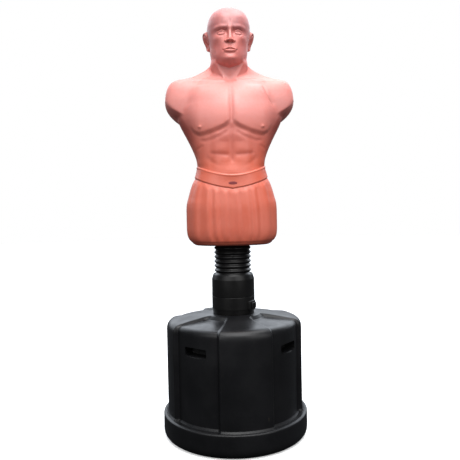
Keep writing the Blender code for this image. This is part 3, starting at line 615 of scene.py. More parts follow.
def face_relief(x, z):
    """A calm, plain face: (push forward, shade) at each point, x being the distance from the middle."""
    push, shade = relief(x, z, FACE_SPOTS, FACE_STROKES)
    across, up = (x - EYE_MIDDLE[0]) / EYE_HALF[0], (z - EYE_MIDDLE[1]) / EYE_HALF[1]
    push += 0.005 * np.sqrt(np.clip(1 - across ** 2 * 0.85 - up ** 2 * 0.6, 0.0, 1.0))
    across, up = (x - WING_MIDDLE[0]) / WING_HALF[0], (z - WING_MIDDLE[1]) / WING_HALF[1]
    wing = np.sqrt(np.clip(1 - across ** 2 - up ** 2, 0.0, 1.0))
    tip = np.where((z > NOSE_LOW) & (z < NOSE_HIGH), curve_through(NOSE_PUSH, z), 0.0)
    half = curve_through(NOSE_HALF, z)
    ridge = 1 - smooth(x, half * 0.45, half * 2.05)
    push += tip * ridge + 0.0085 * wing * (1 - 0.55 * ridge)
    return push, shade


EAR_HALF = [
    (-0.038, 0.008), (-0.026, 0.0105), (-0.01, 0.0145), (0.01, 0.0185), (0.026, 0.018), (0.038, 0.013),
]


def ear_relief(y, z):
    """An ear on the head's side: (outward, backward, shade) at each point."""
    lean = math.radians(-10)
    dy, dz = y - 0.006, z - 1.564
    u = dy * math.cos(lean) - dz * math.sin(lean)
    v = dy * math.sin(lean) + dz * math.cos(lean)
    half = curve_through(EAR_HALF, v)
    q = np.sqrt((u / half) ** 2 + (v / 0.0365) ** 2)
    mask = 1 - smooth(q, 0.93, 1.1)
    back_share = smooth(u / half, -1.0, 0.8)
    plate = (0.003 + 0.0135 * back_share) * (0.62 + 0.38 * smooth(v, -0.03, 0.015))
    rim = bell(q - 0.86, 0.095) * smooth(u / half + 0.9 * smooth(v, 0.0, 0.03), -0.55, 0.0)
    fold = bell(q - 0.52, 0.11) * smooth(u, -0.004, 0.006) * smooth(v, -0.022, -0.008)
    bowl = spot(u, v, (-0.001, -0.006), (0.0075, 0.011))
    tragus = spot(u, v, (-0.0125, -0.006), (0.004, 0.0055))
    lobe = spot(u, v, (0.0, -0.03), (0.008, 0.008))
    inside = smooth(u, -0.006, 0.004)
    out = mask * (plate + 0.0028 * rim + 0.002 * fold - 0.0078 * bowl + 0.0026 * tragus + 0.0012 * lobe
                  - 0.0016 * bell(q - 0.69, 0.07) * inside)
    back = mask * 0.005 * smooth(q, 0.45, 0.95) * back_share
    shade = mask * (0.65 * bowl + 0.4 * bell(q - 0.69, 0.08) * inside) + 0.3 * bell(q - 1.06, 0.1)
    return out, back, shade


def grid_normals(points):
    """Outward normals of a grid of rows that close round the body."""
    around = np.roll(points, -1, axis=1) - np.roll(points, 1, axis=1)
    up = np.gradient(points, axis=0)
    normal = np.cross(around, up)
    return normal / np.maximum(np.linalg.norm(normal, axis=-1, keepdims=True), 1e-12)


def sculpt_torso():
    """Rows of points on the whole figure, and a painted shade for its hollows, its flanks and under its
    chest.
    """
    bearing, z = np.meshgrid(column_bearings(), row_heights())
    radius = torso_radius(bearing, z)
    points = np.stack([radius * np.sin(bearing), MID_Y - radius * np.cos(bearing), z], axis=-1)
    normal = grid_normals(points)
    x, y = points[..., 0], points[..., 1]
    front = smooth(-normal[..., 1], 0.1, 0.45) * (y < MID_Y)
    back = smooth(normal[..., 1], 0.1, 0.45) * (y > MID_Y)
    trunk = between(z, 1.03, 1.045, 1.455, 1.475)

    chest, chest_shade = chest_relief(np.abs(x), z)
    bones, bone_shade = collar_bone_relief(x, z)
    behind, behind_shade = back_relief(np.abs(x), z)
    shorts, shorts_shade = shorts_relief(x, bearing, z)
    above = smooth(-normal[..., 1], -0.15, 0.25) * (y < MID_Y + 0.02)
    height = front * chest * trunk + above * bones + back * behind * trunk
    shade = front * chest_shade * trunk + above * bone_shade + back * behind_shade * trunk
    height += shorts * (z < 1.1) + front * BELLY_BULGE * spot(np.abs(x), z, BELLY_MIDDLE, BELLY_SIZE)
    shade += shorts_shade * (z < 1.1)
    points = points + normal * height[..., None]

    face, face_shade = face_relief(np.abs(x), z)
    ahead = smooth(-normal[..., 1], 0.05, 0.5) * (y < MID_Y)
    ahead = ahead * between(z, 1.456, 1.466, 1.66, 1.68)
    points[..., 1] -= ahead * face
    shade += ahead * face_shade
    beside = smooth(np.abs(normal[..., 0]), 0.35, 0.75) * (z > 1.5) * (z < 1.63)
    out, rear, ear_shade = ear_relief(y, z)
    points[..., 0] += np.sign(x) * beside * out
    points[..., 1] += beside * rear
    shade += beside * ear_shade
    return points, shade


def torso_underside(edge):
    """Rows from the bore for the core tube down to the foam's floor, the skin's inside and the hem."""
    centre = np.array([0.0, MID_Y])
    flat = edge[:, :2] - centre
    length = np.linalg.norm(flat, axis=1, keepdims=True)

    def ring(inset, z):
        plan = centre + flat * (1 - inset / length)
        return np.concatenate([plan, np.full((len(plan), 1), z)], axis=1)

    unit = flat / length
    rows = [ring(0.0035, 0.7588), ring(0.01, 0.7586), ring(0.0125, 0.7596), ring(0.013, 0.764),
            ring(0.0105, 0.7648), ring(0.0095, 0.7775)]
    for radius, z in ((0.105, 0.7775), (0.105, 0.7825), (0.0796, 0.7825), (0.0796, CORE_BORE_TOP)):
        plan = unit * radius
        rows.append(np.concatenate([plan, np.full((len(plan), 1), z)], axis=1))
    return rows[::-1]


def make_torso(finish):
    points, shade = sculpt_torso()
    under = torso_underside(points[0])
    rows = np.concatenate([np.array(under), points])
    top = points[-1].mean(axis=0)
    mesh = grid_mesh(rows, (0.0, 0.0, CORE_BORE_TOP), (top[0], top[1], CROWN_Z))
    # painted shade: darkens the skin's colour in its hollows, down its flanks and under its chest
    painted_shade = np.concatenate([np.zeros(len(under) * points.shape[1]), shade.reshape(-1), [0.0, 0.0]])
    layer = mesh.attributes.new("painted_shade", "FLOAT", "POINT")
    layer.data.foreach_set("value", np.clip(painted_shade, -1.0, 1.0).astype(np.float32))
    piece = add_piece("torso_body", mesh, "torso", finish, ("torso_skin", "torso_foam"))


def make_badge(finish):
    """A plain oval patch on the front of the waistband, following its curve."""
    body = bpy.data.objects["torso_body"].data
    tree = BVHTree.FromPolygons([v.co for v in body.vertices], [tuple(p.vertices) for p in body.polygons])
    rows = []
    for share, lift in ((0.3, 0.0009), (0.65, 0.0009), (0.9, 0.0008), (0.98, 0.0005), (1.0, -0.0006),
                        (0.6, -0.0006), (0.3, -0.0006)):
        ring = []
        for angle in np.linspace(0.0, math.tau, 48, endpoint=False):
            x = BADGE_SIZE[0] / 2 * share * math.cos(angle)
            z = BADGE_Z + BADGE_SIZE[1] / 2 * share * math.sin(angle)
            hit, normal, _, _ = tree.ray_cast(Vector((x, -1.0, z)), Vector((0.0, 1.0, 0.0)))
            ring.append(hit + normal * lift)
        rows.append(ring)
    middle, normal, _, _ = tree.ray_cast(Vector((0.0, -1.0, BADGE_Z)), Vector((0.0, 1.0, 0.0)))
    mesh = grid_mesh(rows, middle + normal * 0.0009, middle - normal * 0.0006)
    add_piece("waistband_badge", mesh, "torso", finish)


# ---- base ---------------------------------------------------------------------------------------

SECTORS = 8                      # high and low sectors round the tank, by turns
SECTOR_ANGLE = math.tau / SECTORS
TOP_STEP = 0.013                 # how much lower a low sector's top is near the neck
NECK_FOOT_Z = 0.4818
STEP_HALF_WIDTH = 0.007          # half of a step's width across the wall or the top
RECESS_END = 0.1165              # a low sector's top ends this far from the axis
RECESS_CORNER = 0.015
WELL_RADIUS, WELL_FLOOR = 0.0813, 0.03
GRIP_MIDDLE_Z, GRIP_SIZE, GRIP_BACK = 0.371, (0.1, 0.034), 0.204
GRIP_CORNER = 0.006
PORT_DISTANCE, PORT_BORE = 0.178, 0.0185
DRUM_RADIUS = 0.29
TOP_END, TOP_START = 0.1, 0.14  # radii between which the low sectors' tops end
TOP_FINE_STEP = 0.0012


def top_height(radius):
    """Height of a high sector's sloping top."""
    return 0.4645 + (0.243 - radius) * 0.115


def densified(pairs, step):
    """(high, low) pairs of (radius, z) points with more put between where they lie far apart."""
    out = [pairs[0]]
    for (h0, l0), (h1, l1) in zip(pairs, pairs[1:]):
        reach = math.dist(h0, h1)
        near_end = TOP_END < h0[0] < TOP_START
        count = max(1, math.ceil(reach / (TOP_FINE_STEP if near_end else step)))
        for k in range(1, count + 1):
            t = k / count
            out.append(tuple(tuple(a + (b - a) * t for a, b in zip(p, q)) for p, q in ((h0, h1), (l0, l1))))
    return out


def tank_profile(inset, step):
    """(high point, low point) pairs from the middle of the floor round to the well, moved in by inset."""
    def corners(wall, drop, edge_drop, edge_radius):
        top, side, well = wall - inset, DRUM_RADIUS - inset, WELL_RADIUS + inset
        return rounded([
            (0.0, inset, 0), (side, inset, 0.031), (side, 0.0915 - inset, 0.017),
            (0.28, 0.0945 - inset, 0.0015), (top + 0.0064, 0.0922 - inset, 0.001),
            (top + 0.0008, 0.0995 - inset, 0.0025),
            (top, top_height(wall) - edge_drop - inset, edge_radius),
            (TOP_START, top_height(TOP_START) - drop - inset, 0),
            (TOP_END, top_height(TOP_END) - drop - inset, 0), (0.0875, NECK_FOOT_Z - inset, 0),
            (well, NECK_FOOT_Z - inset, 0.002), (well, WELL_FLOOR - inset, 0),
            (0.0, WELL_FLOOR - inset, 0)])

    high, low = corners(0.2705, 0.0, 0.004, 0.036), corners(0.2548, TOP_STEP, 0.009, 0.024)
    return densified(list(zip(high, low)), step)


def sector_bearings(middle_step):
    """Bearings round the tank, close together at the steps between its sectors."""
    near = np.radians([-1.8, -1.4, -1.05, -0.75, -0.5, -0.25, 0.0, 0.25, 0.5, 0.75, 1.05, 1.4, 1.8])
    span = SECTOR_ANGLE - 2 * near[-1]
    count = round(span / math.radians(middle_step))
    middle = near[-1] + span * np.arange(1, count) / count
    one = np.concatenate([near, middle])
    return np.concatenate([BASE_TURN + (k - 0.5) * SECTOR_ANGLE + one for k in range(SECTORS)])


def low_share(bearing, radius):
    """0 on a high sector and 1 on a low one, with the low sector's inner end rounded at its corners."""
    turn = (bearing - BASE_TURN + SECTOR_ANGLE / 2) / SECTOR_ANGLE
    sector = np.floor(turn + 1e-9)
    across = turn - sector
    edge = np.minimum(across, 1 - across) * SECTOR_ANGLE * radius
    side = np.where(sector % 2 == 1, edge, -edge)
    inner = radius - RECESS_END
    near = (side < RECESS_CORNER) & (inner < RECESS_CORNER)
    corner = RECESS_CORNER - np.hypot(RECESS_CORNER - side, RECESS_CORNER - inner)
    away = np.where(near, corner, np.minimum(side, inner))
    return smooth(away, -STEP_HALF_WIDTH, STEP_HALF_WIDTH)


def tank_skin(inset, step, middle_step):
    """The tank's skin, moved in by inset; the outer one has slight waves in its wall."""
    pairs = np.array(tank_profile(inset, step))
    floor, well = pairs[0, 0], pairs[-1, 0]
    bearing = sector_bearings(middle_step)
    turn = bearing[None, :]
    high, low = pairs[1:-1, None, 0, :], pairs[1:-1, None, 1, :]
    share = low_share(turn, np.maximum(high[..., 0], 0.02))[..., None]
    ring = high + (low - high) * share
    radius, z = ring[..., 0], ring[..., 1]
    if not inset:
        wave = np.sin(2 * turn + 9 * z) + np.sin(5 * turn - 16 * z + 1) + 0.6 * np.sin(11 * turn + 25 * z)
        radius = radius + 0.00022 * wave * smooth(radius, 0.13, 0.2) * smooth(z, 0.02, 0.05)
    points = np.stack([radius * np.sin(bearing), -radius * np.cos(bearing), z], axis=-1)
    return grid_mesh(points, (0.0, 0.0, floor[1]), (0.0, 0.0, well[1]))


def pocket_mesh(stations, size, corner):
    """A rounded-rectangle pocket along +X: each station is (distance, how much wider than size)."""
    rows = []
    for distance, grown in stations:
        half_y, half_z = size[0] / 2 + grown, size[1] / 2 + grown
        r = max(corner + grown, 0.0008)
        ring = []
        for quarter, (sy, sz) in enumerate(((1, 1), (-1, 1), (-1, -1), (1, -1))):
            for k in range(7):
                angle = math.radians(90 * quarter + 15 * k)
                y, z = sy * (half_y - r) + r * math.cos(angle), sz * (half_z - r) + r * math.sin(angle)
                ring.append((distance, y, z))
        rows.append(ring)
    return grid_mesh(rows, (stations[0][0], 0.0, 0.0), (stations[-1][0], 0.0, 0.0))


def make_tank(finish):
    """The tank with its grip pockets, its water space and the fill port with its threaded neck."""
    stations = [(0.3, 0.0022), (0.256, 0.0022), (0.2548, 0.0014), (0.2532, 0.0005), (0.2512, 0.0),
                (GRIP_BACK + 0.006, 0.0), (GRIP_BACK + 0.0018, -0.0016), (GRIP_BACK, -0.0055)]
    cover_stations = [(0.3, 0.0045), (GRIP_BACK - 0.005, 0.0045)]
    pockets, covers = [], []
    for k in range(4):
        frame_k = outward_frame(GRIP_TURN + k * math.pi / 2, GRIP_MIDDLE_Z)
        pockets.append(placed(pocket_mesh(stations, GRIP_SIZE, GRIP_CORNER), frame_k))
        covers.append(placed(pocket_mesh(cover_stations, GRIP_SIZE, GRIP_CORNER), frame_k))
    port = outward_frame(PORT_BEARING, 0.0, PORT_DISTANCE)
    bore = placed(rod_mesh(PORT_BORE, 0.452, 0.52, 48), port)
    cavity = carved(tank_skin(0.005, 0.03, 5.0), covers)
    tank = carved(tank_skin(0.0, 0.012, 1.55), [*pockets, cavity, bore], 32)
    add_piece("tank_body", tank, "base", finish, ("base_tank",))

    thread = [(PORT_BORE, 0.46), (PORT_BORE, 0.4985), (PORT_BORE + 0.0005, 0.499), (0.0208, 0.499),
              (0.0212, 0.4984)]
    for turn in range(3):
        z = 0.4962 - 0.0034 * turn
        thread += [(0.0212, z), (0.0219, z - 0.0006), (0.0219, z - 0.0012), (0.0212, z - 0.0018)]
    boss = rounded([(0.0212, 0.4862, 0), (0.0214, 0.484, 0.001), (0.031, 0.484, 0.0025), (0.0325, 0.46, 0)])
    neck = placed(turned_mesh(thread + boss, 72, closed=True), port)
    add_piece("fill_port_neck", neck, "base", finish)


def make_fill_cap(finish):
    """The fill port's screw cap, ribbed round its side, with a raised bar across its top to turn it by."""
    low, high, bore, ceiling = 0.486, 0.5075, 0.0225, 0.5028
    profile = rounded([(0.0, ceiling, 0), (bore, ceiling, 0.001), (bore, low + 0.0006, 0.0005),
                       (0.0284, low, 0.0006), (0.029, high, 0.0026), (0.0235, high - 0.0002, 0.0008),
                       (0.0222, high - 0.0016, 0.001), (0.0, high - 0.0016, 0)])
    turns = np.arange(192) / 192 * math.tau
    rows = []
    for radius, z in profile[1:-1]:
        ribbed = smooth(radius, 0.0262, 0.0282) * smooth(z, low + 0.0012, low + 0.0022)
        groove = 0.001 * ribbed * (0.5 - 0.5 * np.cos(32 * turns)) ** 1.5
        rows.append(np.stack([(radius - groove) * np.cos(turns), (radius - groove) * np.sin(turns),
                              np.full_like(turns, z)], axis=-1))
    cap = grid_mesh(rows, (0, 0, ceiling), (0, 0, high - 0.0016), 40)
    place = outward_frame(PORT_BEARING, 0.0, PORT_DISTANCE)
    add_piece("fill_cap_body", placed(cap, place), "cap", finish, ("fill_cap",))
    bar = placed(block_mesh((0.0405, 0.006, 0.005), 0.0012), place @ shift(0.0, 0.0, high - 0.0032))
    add_piece("fill_cap_bar", bar, "cap", finish)


# ---- collar and latch ---------------------------------------------------------------------------

COLLAR_RADIUS, COLLAR_BORE = 0.0855, 0.0812
COLLAR_LOW_Z, COLLAR_TOP_Z = 0.5525, 0.641
RING_LOW_Z = 0.4828
LATCH_Z = 0.5185
SCREW_Z = 0.566
SPRING_WAY, PIN_WAY = 0.0083, 0.0048
PLATE_SCREW_Z = 0.7661           # just under the base plate, where its screws' heads start
SCREW_BEARINGS = [math.radians(angle) for angle in (135, 185, 235)]


def make_collar(finish):
    """The sleeve round the pole, and the ring under it that carries the latch."""
    mouth = 0.0751
    profile = rounded([(COLLAR_BORE, COLLAR_LOW_Z, 0.0006), (COLLAR_RADIUS, COLLAR_LOW_Z, 0.0014),
                       (COLLAR_RADIUS - 0.0006, 0.62, 0.006), (0.0795, 0.637, 0.005),
                       (mouth + 0.002, COLLAR_TOP_Z, 0.0016), (mouth, COLLAR_TOP_Z - 0.0008, 0.0008),
                       (mouth, 0.627, 0.001), (COLLAR_BORE, 0.6145, 0.001),
                       (COLLAR_BORE, COLLAR_LOW_Z + 0.001, 0)])
    sleeve = turned_mesh(profile, 144, closed=True)
    add_piece("collar_sleeve", sleeve, "base", finish, ("stem_collar",))
    high = COLLAR_LOW_Z - 0.0008
    profile = rounded([(COLLAR_BORE, high - 0.0005, 0), (COLLAR_BORE, high, 0.0005),
                       (COLLAR_RADIUS, high, 0.0016), (COLLAR_RADIUS, 0.503, 0.0022),
                       (COLLAR_RADIUS - 0.0012, 0.5002, 0.001),
                       (COLLAR_RADIUS - 0.0034, RING_LOW_Z, 0.002), (COLLAR_BORE, RING_LOW_Z, 0.0004),
                       (COLLAR_BORE, RING_LOW_Z + 0.001, 0)])
    ring = carved(turned_mesh(profile, 144, closed=True),
                  [latch_rod(SPRING_WAY, 0.0823, 0.1, 48), latch_rod(PIN_WAY, 0.07, 0.11, 32)])
    add_piece("collar_ring", ring, "base", finish, ("lock_ring",))


def along_latch():
    """A matrix that takes +Z to the latch's outward axis, with z as the distance from the pole's axis."""
    return outward_frame(LATCH_BEARING, LATCH_Z) @ spun(90, "Y")


def latch_rod(radius, low, high, segments):
    """A rod along the latch's axis, between two distances from the pole's axis."""
    return placed(rod_mesh(radius, low, high, segments), along_latch())


def make_latch(plastic, steel):
    """The pull latch: housing, knob and pin."""
    place = outward_frame(LATCH_BEARING, LATCH_Z)
    depth = 0.0205
    housing = placed(block_mesh((depth, 0.04, 0.036), 0.004, 5), place @ shift(0.095 - depth / 2, 0.0, 0.0))
    seat = placed(rod_mesh(0.0858, -0.05, 0.05, 144), shift(0.0, 0.0, LATCH_Z))
    ways = [latch_rod(SPRING_WAY, 0.07, 0.0925, 48), latch_rod(PIN_WAY, 0.07, 0.11, 32)]
    add_piece("latch_body", carved(housing, [seat, *ways]), "base", plastic,
              ("latch_housing",))

    knob = placed(block_mesh((0.0062, 0.027, 0.022), 0.0019), place @ shift(0.0953 + 0.0032, 0.0, 0.0))
    cuts = [placed(block_mesh((0.0024, 0.0012, 0.03), 0.0004, 2), place @ shift(0.102, 0.0031 * k, 0.0))
            for k in range(-3, 4)]
    cuts.append(latch_rod(0.0045, 0.08, 0.0975, 32))
    add_piece("latch_pull", carved(knob, cuts), "latch", plastic, ("latch_knob",))

    profile = rounded([(0.0, 0.074, 0), (0.003, 0.074, 0.0006), (0.0042, 0.0752, 0.0006),
                       (0.0042, 0.0826, 0), (0.0078, 0.0826, 0.0003), (0.0078, 0.0845, 0.0003),
                       (0.0042, 0.0845, 0),
                       (0.0042, 0.0972, 0.0004), (0.0, 0.0972, 0)], 3)
    pin = placed(turned_mesh(profile, 48), along_latch())
    add_piece("latch_pin_body", pin, "latch", steel, ("latch_pin",))


def screw_mesh(head, head_height, shank, length):
    """A pan-head screw up +Z with a cross recess, its head's underside at z = 0."""
    profile = [(0.0, -length), (shank * 0.45, -length + shank * 0.3)]
    z = -length + shank * 1.2
    while z < -0.0016:
        profile += [(shank * 0.78, z), (shank, z + 0.0004), (shank * 0.78, z + 0.0008)]
        z += 0.0011
    profile += rounded([(shank * 0.85, -0.0004, 0), (shank, 0.0, 0.0001), (head, 0.0, 0.0003),
                        (head, head_height * 0.55, head_height * 0.5),
                        (head * 0.62, head_height, head_height * 0.5), (0.0, head_height, 0)], 4)
    slot_size = (head * 1.15, head * 0.22, head_height * 0.9)
    slots = [placed(block_mesh(slot_size, 0.0002, 1), shift(0, 0, head_height) @ spun(turn))
             for turn in (0, 90)]
    return carved(turned_mesh(profile, 40), slots)


def make_screws(steel):
    for number, bearing in enumerate(SCREW_BEARINGS, 1):
        name = f"collar_screw_{number}"
        place = outward_frame(bearing, SCREW_Z, COLLAR_RADIUS + 0.0004) @ spun(90, "Y") @ spun(31 * number)
        screw = placed(screw_mesh(0.005, 0.0026, 0.0022, 0.008), place)
        add_piece(name + "_body", screw, "base", steel, (name,))
    for number in range(1, 5):
        name = f"plate_screw_{number}"
        low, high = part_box(name)
        middle = (low + high) / 2
        place = shift(middle.x, middle.y, PLATE_SCREW_Z) @ spun(180, "X") @ spun(23 * number)
        screw = placed(screw_mesh(0.0046, 0.0026, 0.002, 0.0135), place)
        add_piece(name + "_body", screw, "torso", steel, (name,))


# ---- pole ---------------------------------------------------------------------------------------

CREST_RADIUS, ROOT_RADIUS, POLE_BORE = 0.0735, 0.0672, 0.061
RIB_PITCH, FIRST_CREST_Z, RIB_COUNT = 0.018, 0.4385, 19


def make_pole(finish):
    """The ribbed tube: round-crested rings with wider hollows between them."""
    low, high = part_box("pole_tube")
    ribs_low = FIRST_CREST_Z - RIB_PITCH / 2
    ribs_high = ribs_low + RIB_COUNT * RIB_PITCH
    outer = [(CREST_RADIUS - 0.001, low.z), (CREST_RADIUS, low.z + 0.001), (CREST_RADIUS, ribs_low - 0.003)]
    steps = 12
    for i in range(RIB_COUNT * steps + 1):
        z = ribs_low + i * RIB_PITCH / steps
        swell = (0.5 + 0.5 * math.cos(math.tau * (z - FIRST_CREST_Z) / RIB_PITCH)) ** 0.85
        outer.append((ROOT_RADIUS + (CREST_RADIUS - ROOT_RADIUS) * swell, z))
    outer += [(CREST_RADIUS, ribs_high + 0.003), (CREST_RADIUS, high.z - 0.001),
              (CREST_RADIUS - 0.001, high.z)]
    profile = [(POLE_BORE, low.z), *outer, (POLE_BORE, high.z)]
    tube = turned_mesh(profile, closed=True)
    add_piece("ribbed_pole", tube, "pole", finish, ("pole_tube",))


# ---- materials ----------------------------------------------------------------------------------

class Nodes:
    """Short calls for the nodes of one tree."""

    def __init__(self, tree):
        self.tree = tree

    def node(self, kind, inputs=(), **settings):
        made = self.tree.nodes.new(kind)
        for key, value in settings.items():
            setattr(made, key, value)
        for key, value in dict(inputs).items():
            self.feed(made.inputs[key], value)
        return made

    def feed(self, socket, value):
        """Link the socket to another one, or set its value; None leaves it alone."""
        if isinstance(value, bpy.types.NodeSocket):
            self.tree.links.new(value, socket)
        elif value is not None:
            if isinstance(value, tuple) and len(value) == 3 and socket.type == "RGBA":
                value = (*value, 1.0)
            socket.default_value = value

    def spread(self, value, low, high, to_low=0.0, to_high=1.0):
        return self.node("ShaderNodeMapRange", {"Value": value, "From Min": low, "From Max": high,
                                                "To Min": to_low, "To Max": to_high},
                         interpolation_type="SMOOTHSTEP").outputs["Result"]

    def sum(self, operation, a, b):
        return self.node("ShaderNodeMath", {0: a, 1: b}, operation=operation).outputs[0]


class Shading(Nodes):
    """A procedural material: a Principled shader and short calls for the nodes that feed it."""

    def __init__(self, name, **fixed):
        self.material = bpy.data.materials.new(name)
        self.material.use_nodes = True
        super().__init__(self.material.node_tree)
        self.shader = self.tree.nodes["Principled BSDF"]
        self.set(**fixed)
        self.place = self.node("ShaderNodeTexCoord").outputs["Object"]

    def noise(self, scale, detail=3.0, roughness=0.5, stretch=None):
        place = self.place
        if stretch:
            place = self.node("ShaderNodeMapping", {"Vector": place, "Scale": stretch}).outputs[0]
        return self.node("ShaderNodeTexNoise", {"Vector": place, "Scale": scale, "Detail": detail,
                                                "Roughness": roughness}).outputs["Fac"]

    def cells(self, scale):
        return self.node("ShaderNodeTexVoronoi", {"Vector": self.place, "Scale": scale}).outputs["Distance"]

    def blend(self, factor, a, b):
        made = self.node("ShaderNodeMix", data_type="RGBA")
        self.feed(made.inputs["Factor"], factor)
        self.feed(made.inputs[6], a)  # sockets 6 and 7 and output 2 are the colours
        self.feed(made.inputs[7], b)
        return made.outputs[2]

    def bump(self, height, strength, distance, normal=None):
        return self.node("ShaderNodeBump", {"Height": height, "Strength": strength, "Distance": distance,
                                            "Normal": normal}).outputs["Normal"]

    def set(self, **sockets):
        for socket, value in sockets.items():
            self.feed(self.shader.inputs[socket.replace("_", " ")], value)
        return self.material


def vinyl_skin():
    """Flesh-coloured vinyl, mottled and finely pebbled, with painted light and shade: its tone changes with
    height as painted light, darker and redder low down, paler on the chest and pinker towards the head, and
    painted shade darkens its hollows, its flanks and under its chest.
    """
    s = Shading("vinyl_skin", Specular_IOR_Level=0.7, Subsurface_Weight=0.06, Subsurface_Scale=0.01,
                Subsurface_Radius=(1.0, 0.35, 0.2))
    height = s.node("ShaderNodeSeparateXYZ", {"Vector": s.place}).outputs["Z"]
    # painted light and shade by height: the trunk darker and redder low down, paler on the chest, the head
    # darker and pinker
    tone = s.blend(s.spread(height, 1.07, 1.33), (0.575, 0.104, 0.053), (0.61, 0.222, 0.2))
    tone = s.blend(s.spread(height, 1.4, 1.5), tone, (0.585, 0.168, 0.152))
    tone = s.blend(s.spread(height, 1.51, 1.62), tone, (0.33, 0.11, 0.112))
    mottle = s.noise(7.0, 4.0, 0.55)
    tone = s.blend(s.spread(mottle, 0.32, 0.7, 0.0, 0.26), tone, (0.74, 0.25, 0.19))
    fine = s.noise(85.0, 3.0, 0.6)
    tone = s.blend(s.spread(fine, 0.35, 0.75, 0.0, 0.18), tone, (0.6, 0.13, 0.085))
    # painted shade carried from the torso's mesh, blended towards dark red
    painted_shade = s.node("ShaderNodeAttribute", attribute_name="painted_shade").outputs["Fac"]
    tone = s.blend(s.spread(painted_shade, 0.0, 1.0, 0.0, 0.75), tone, (0.27, 0.035, 0.022))
    grain = s.cells(900.0)
    pores = s.noise(420.0, 2.0, 0.6)
    relief = s.bump(grain, 0.16, 0.0006)
    relief = s.bump(pores, 0.14, 0.0008, relief)
    relief = s.bump(s.noise(26.0, 3.0), 0.1, 0.002, relief)
    rough = s.spread(s.noise(18.0, 4.0), 0.25, 0.8, 0.42, 0.58)
    return s.set(Base_Color=tone, Roughness=rough, Normal=relief)


def badge_ink():
    s = Shading("badge_ink", Specular_IOR_Level=0.4)
    colour = s.blend(s.noise(120.0, 3.0), (0.165, 0.022, 0.026), (0.215, 0.034, 0.036))
    return s.set(Base_Color=colour, Roughness=s.spread(s.noise(200.0), 0.3, 0.7, 0.46, 0.58),
                 Normal=s.bump(s.noise(500.0), 0.1, 0.0004))


def black_plastic(name, tone, rough, grain_scale, grain, scuffs):
    s = Shading(name, Specular_IOR_Level=0.3)
    cloud = s.noise(5.0, 5.0, 0.6)
    colour = s.blend(s.spread(cloud, 0.3, 0.75), tone, tuple(1.7 * c for c in tone))
    dust = s.spread(s.noise(60.0, 6.0, 0.7), 0.55, 0.85, 0.0, 0.5)
    colour = s.blend(s.sum("MULTIPLY", dust, scuffs), colour, (0.03, 0.028, 0.025))
    scratches = s.spread(s.noise(9.0, 8.0, 0.75, (6.0, 6.0, 0.7)), 0.66, 0.7)
    marks = s.spread(s.noise(2.3, 2.0), 0.58, 0.66)
    scuffed = s.sum("MULTIPLY", s.sum("MULTIPLY", scratches, marks), scuffs)
    colour = s.blend(scuffed, colour, (0.1, 0.085, 0.065))
    roughness = s.spread(s.noise(11.0, 5.0, 0.6), 0.25, 0.8, rough - 0.07, rough + 0.1)
    relief = s.bump(s.noise(grain_scale, 2.0, 0.6), grain, 0.0008)
    relief = s.bump(s.noise(16.0, 2.0), 0.16, 0.003, relief)
    return s.set(Base_Color=colour, Roughness=roughness, Normal=relief)


def nylon():
    s = Shading("nylon", Specular_IOR_Level=0.5, Subsurface_Weight=0.12, Subsurface_Scale=0.004)
    colour = s.blend(s.spread(s.noise(40.0, 4.0), 0.3, 0.7), (0.74, 0.72, 0.66), (0.8, 0.79, 0.74))
    turned = s.noise(300.0, 2.0, 0.5, (0.15, 0.15, 2.5))
    return s.set(Base_Color=colour, Roughness=s.spread(turned, 0.3, 0.7, 0.32, 0.46),
                 Normal=s.bump(turned, 0.1, 0.0004))


def rubber():
    s = Shading("seal_rubber", Specular_IOR_Level=0.35)
    colour = s.blend(s.noise(50.0, 4.0), (0.02, 0.02, 0.021), (0.038, 0.037, 0.036))
    return s.set(Base_Color=colour, Roughness=s.spread(s.noise(90.0), 0.3, 0.7, 0.68, 0.85),
                 Normal=s.bump(s.noise(700.0, 2.0), 0.15, 0.0004))


def zinc():
    s = Shading("zinc_plate", Metallic=1.0)
    patches = s.spread(s.cells(600.0), 0.2, 0.7)
    colour = s.blend(patches, (0.56, 0.57, 0.58), (0.68, 0.68, 0.67))
    return s.set(Base_Color=colour, Roughness=s.spread(s.noise(180.0, 4.0), 0.3, 0.7, 0.24, 0.42),
                 Normal=s.bump(s.noise(500.0), 0.08, 0.0003))


def plywood():
    s = Shading("plywood", Specular_IOR_Level=0.3)
    grain = s.noise(9.0, 6.0, 0.65, (0.6, 9.0, 9.0))
    colour = s.blend(s.spread(grain, 0.3, 0.72), (0.34, 0.205, 0.105), (0.56, 0.385, 0.225))
    veneer = s.node("ShaderNodeTexWave", {"Vector": s.place, "Scale": 62.0, "Distortion": 0.6},
                    bands_direction="Z").outputs["Fac"]
    colour = s.blend(s.spread(veneer, 0.5, 0.9, 0.0, 0.25), colour, (0.26, 0.15, 0.075))
    return s.set(Base_Color=colour, Roughness=s.spread(grain, 0.3, 0.7, 0.58, 0.75),
                 Normal=s.bump(grain, 0.2, 0.0008))


def water():
    s = Shading("water", Roughness=0.06, IOR=1.333, Transmission_Weight=0.85)
    colour = s.blend(s.noise(6.0, 3.0), (0.55, 0.68, 0.72), (0.66, 0.77, 0.79))
    return s.set(Base_Color=colour, Normal=s.bump(s.noise(9.0, 2.0), 0.1, 0.002))


# ---- build --------------------------------------------------------------------------------------

TANK_FINISH = black_plastic("tank_polyethylene", (0.0046, 0.0046, 0.0052), 0.38, 260.0, 0.12, 0.55)
PLASTIC_FINISH = black_plastic("moulded_black_plastic", (0.004, 0.0038, 0.0038), 0.34, 420.0, 0.08, 0.2)
POLE_FINISH = black_plastic("pole_polyethylene", (0.0042, 0.004, 0.0041), 0.34, 320.0, 0.08, 0.2)
STEEL_FINISH = zinc()
NYLON_FINISH = nylon()

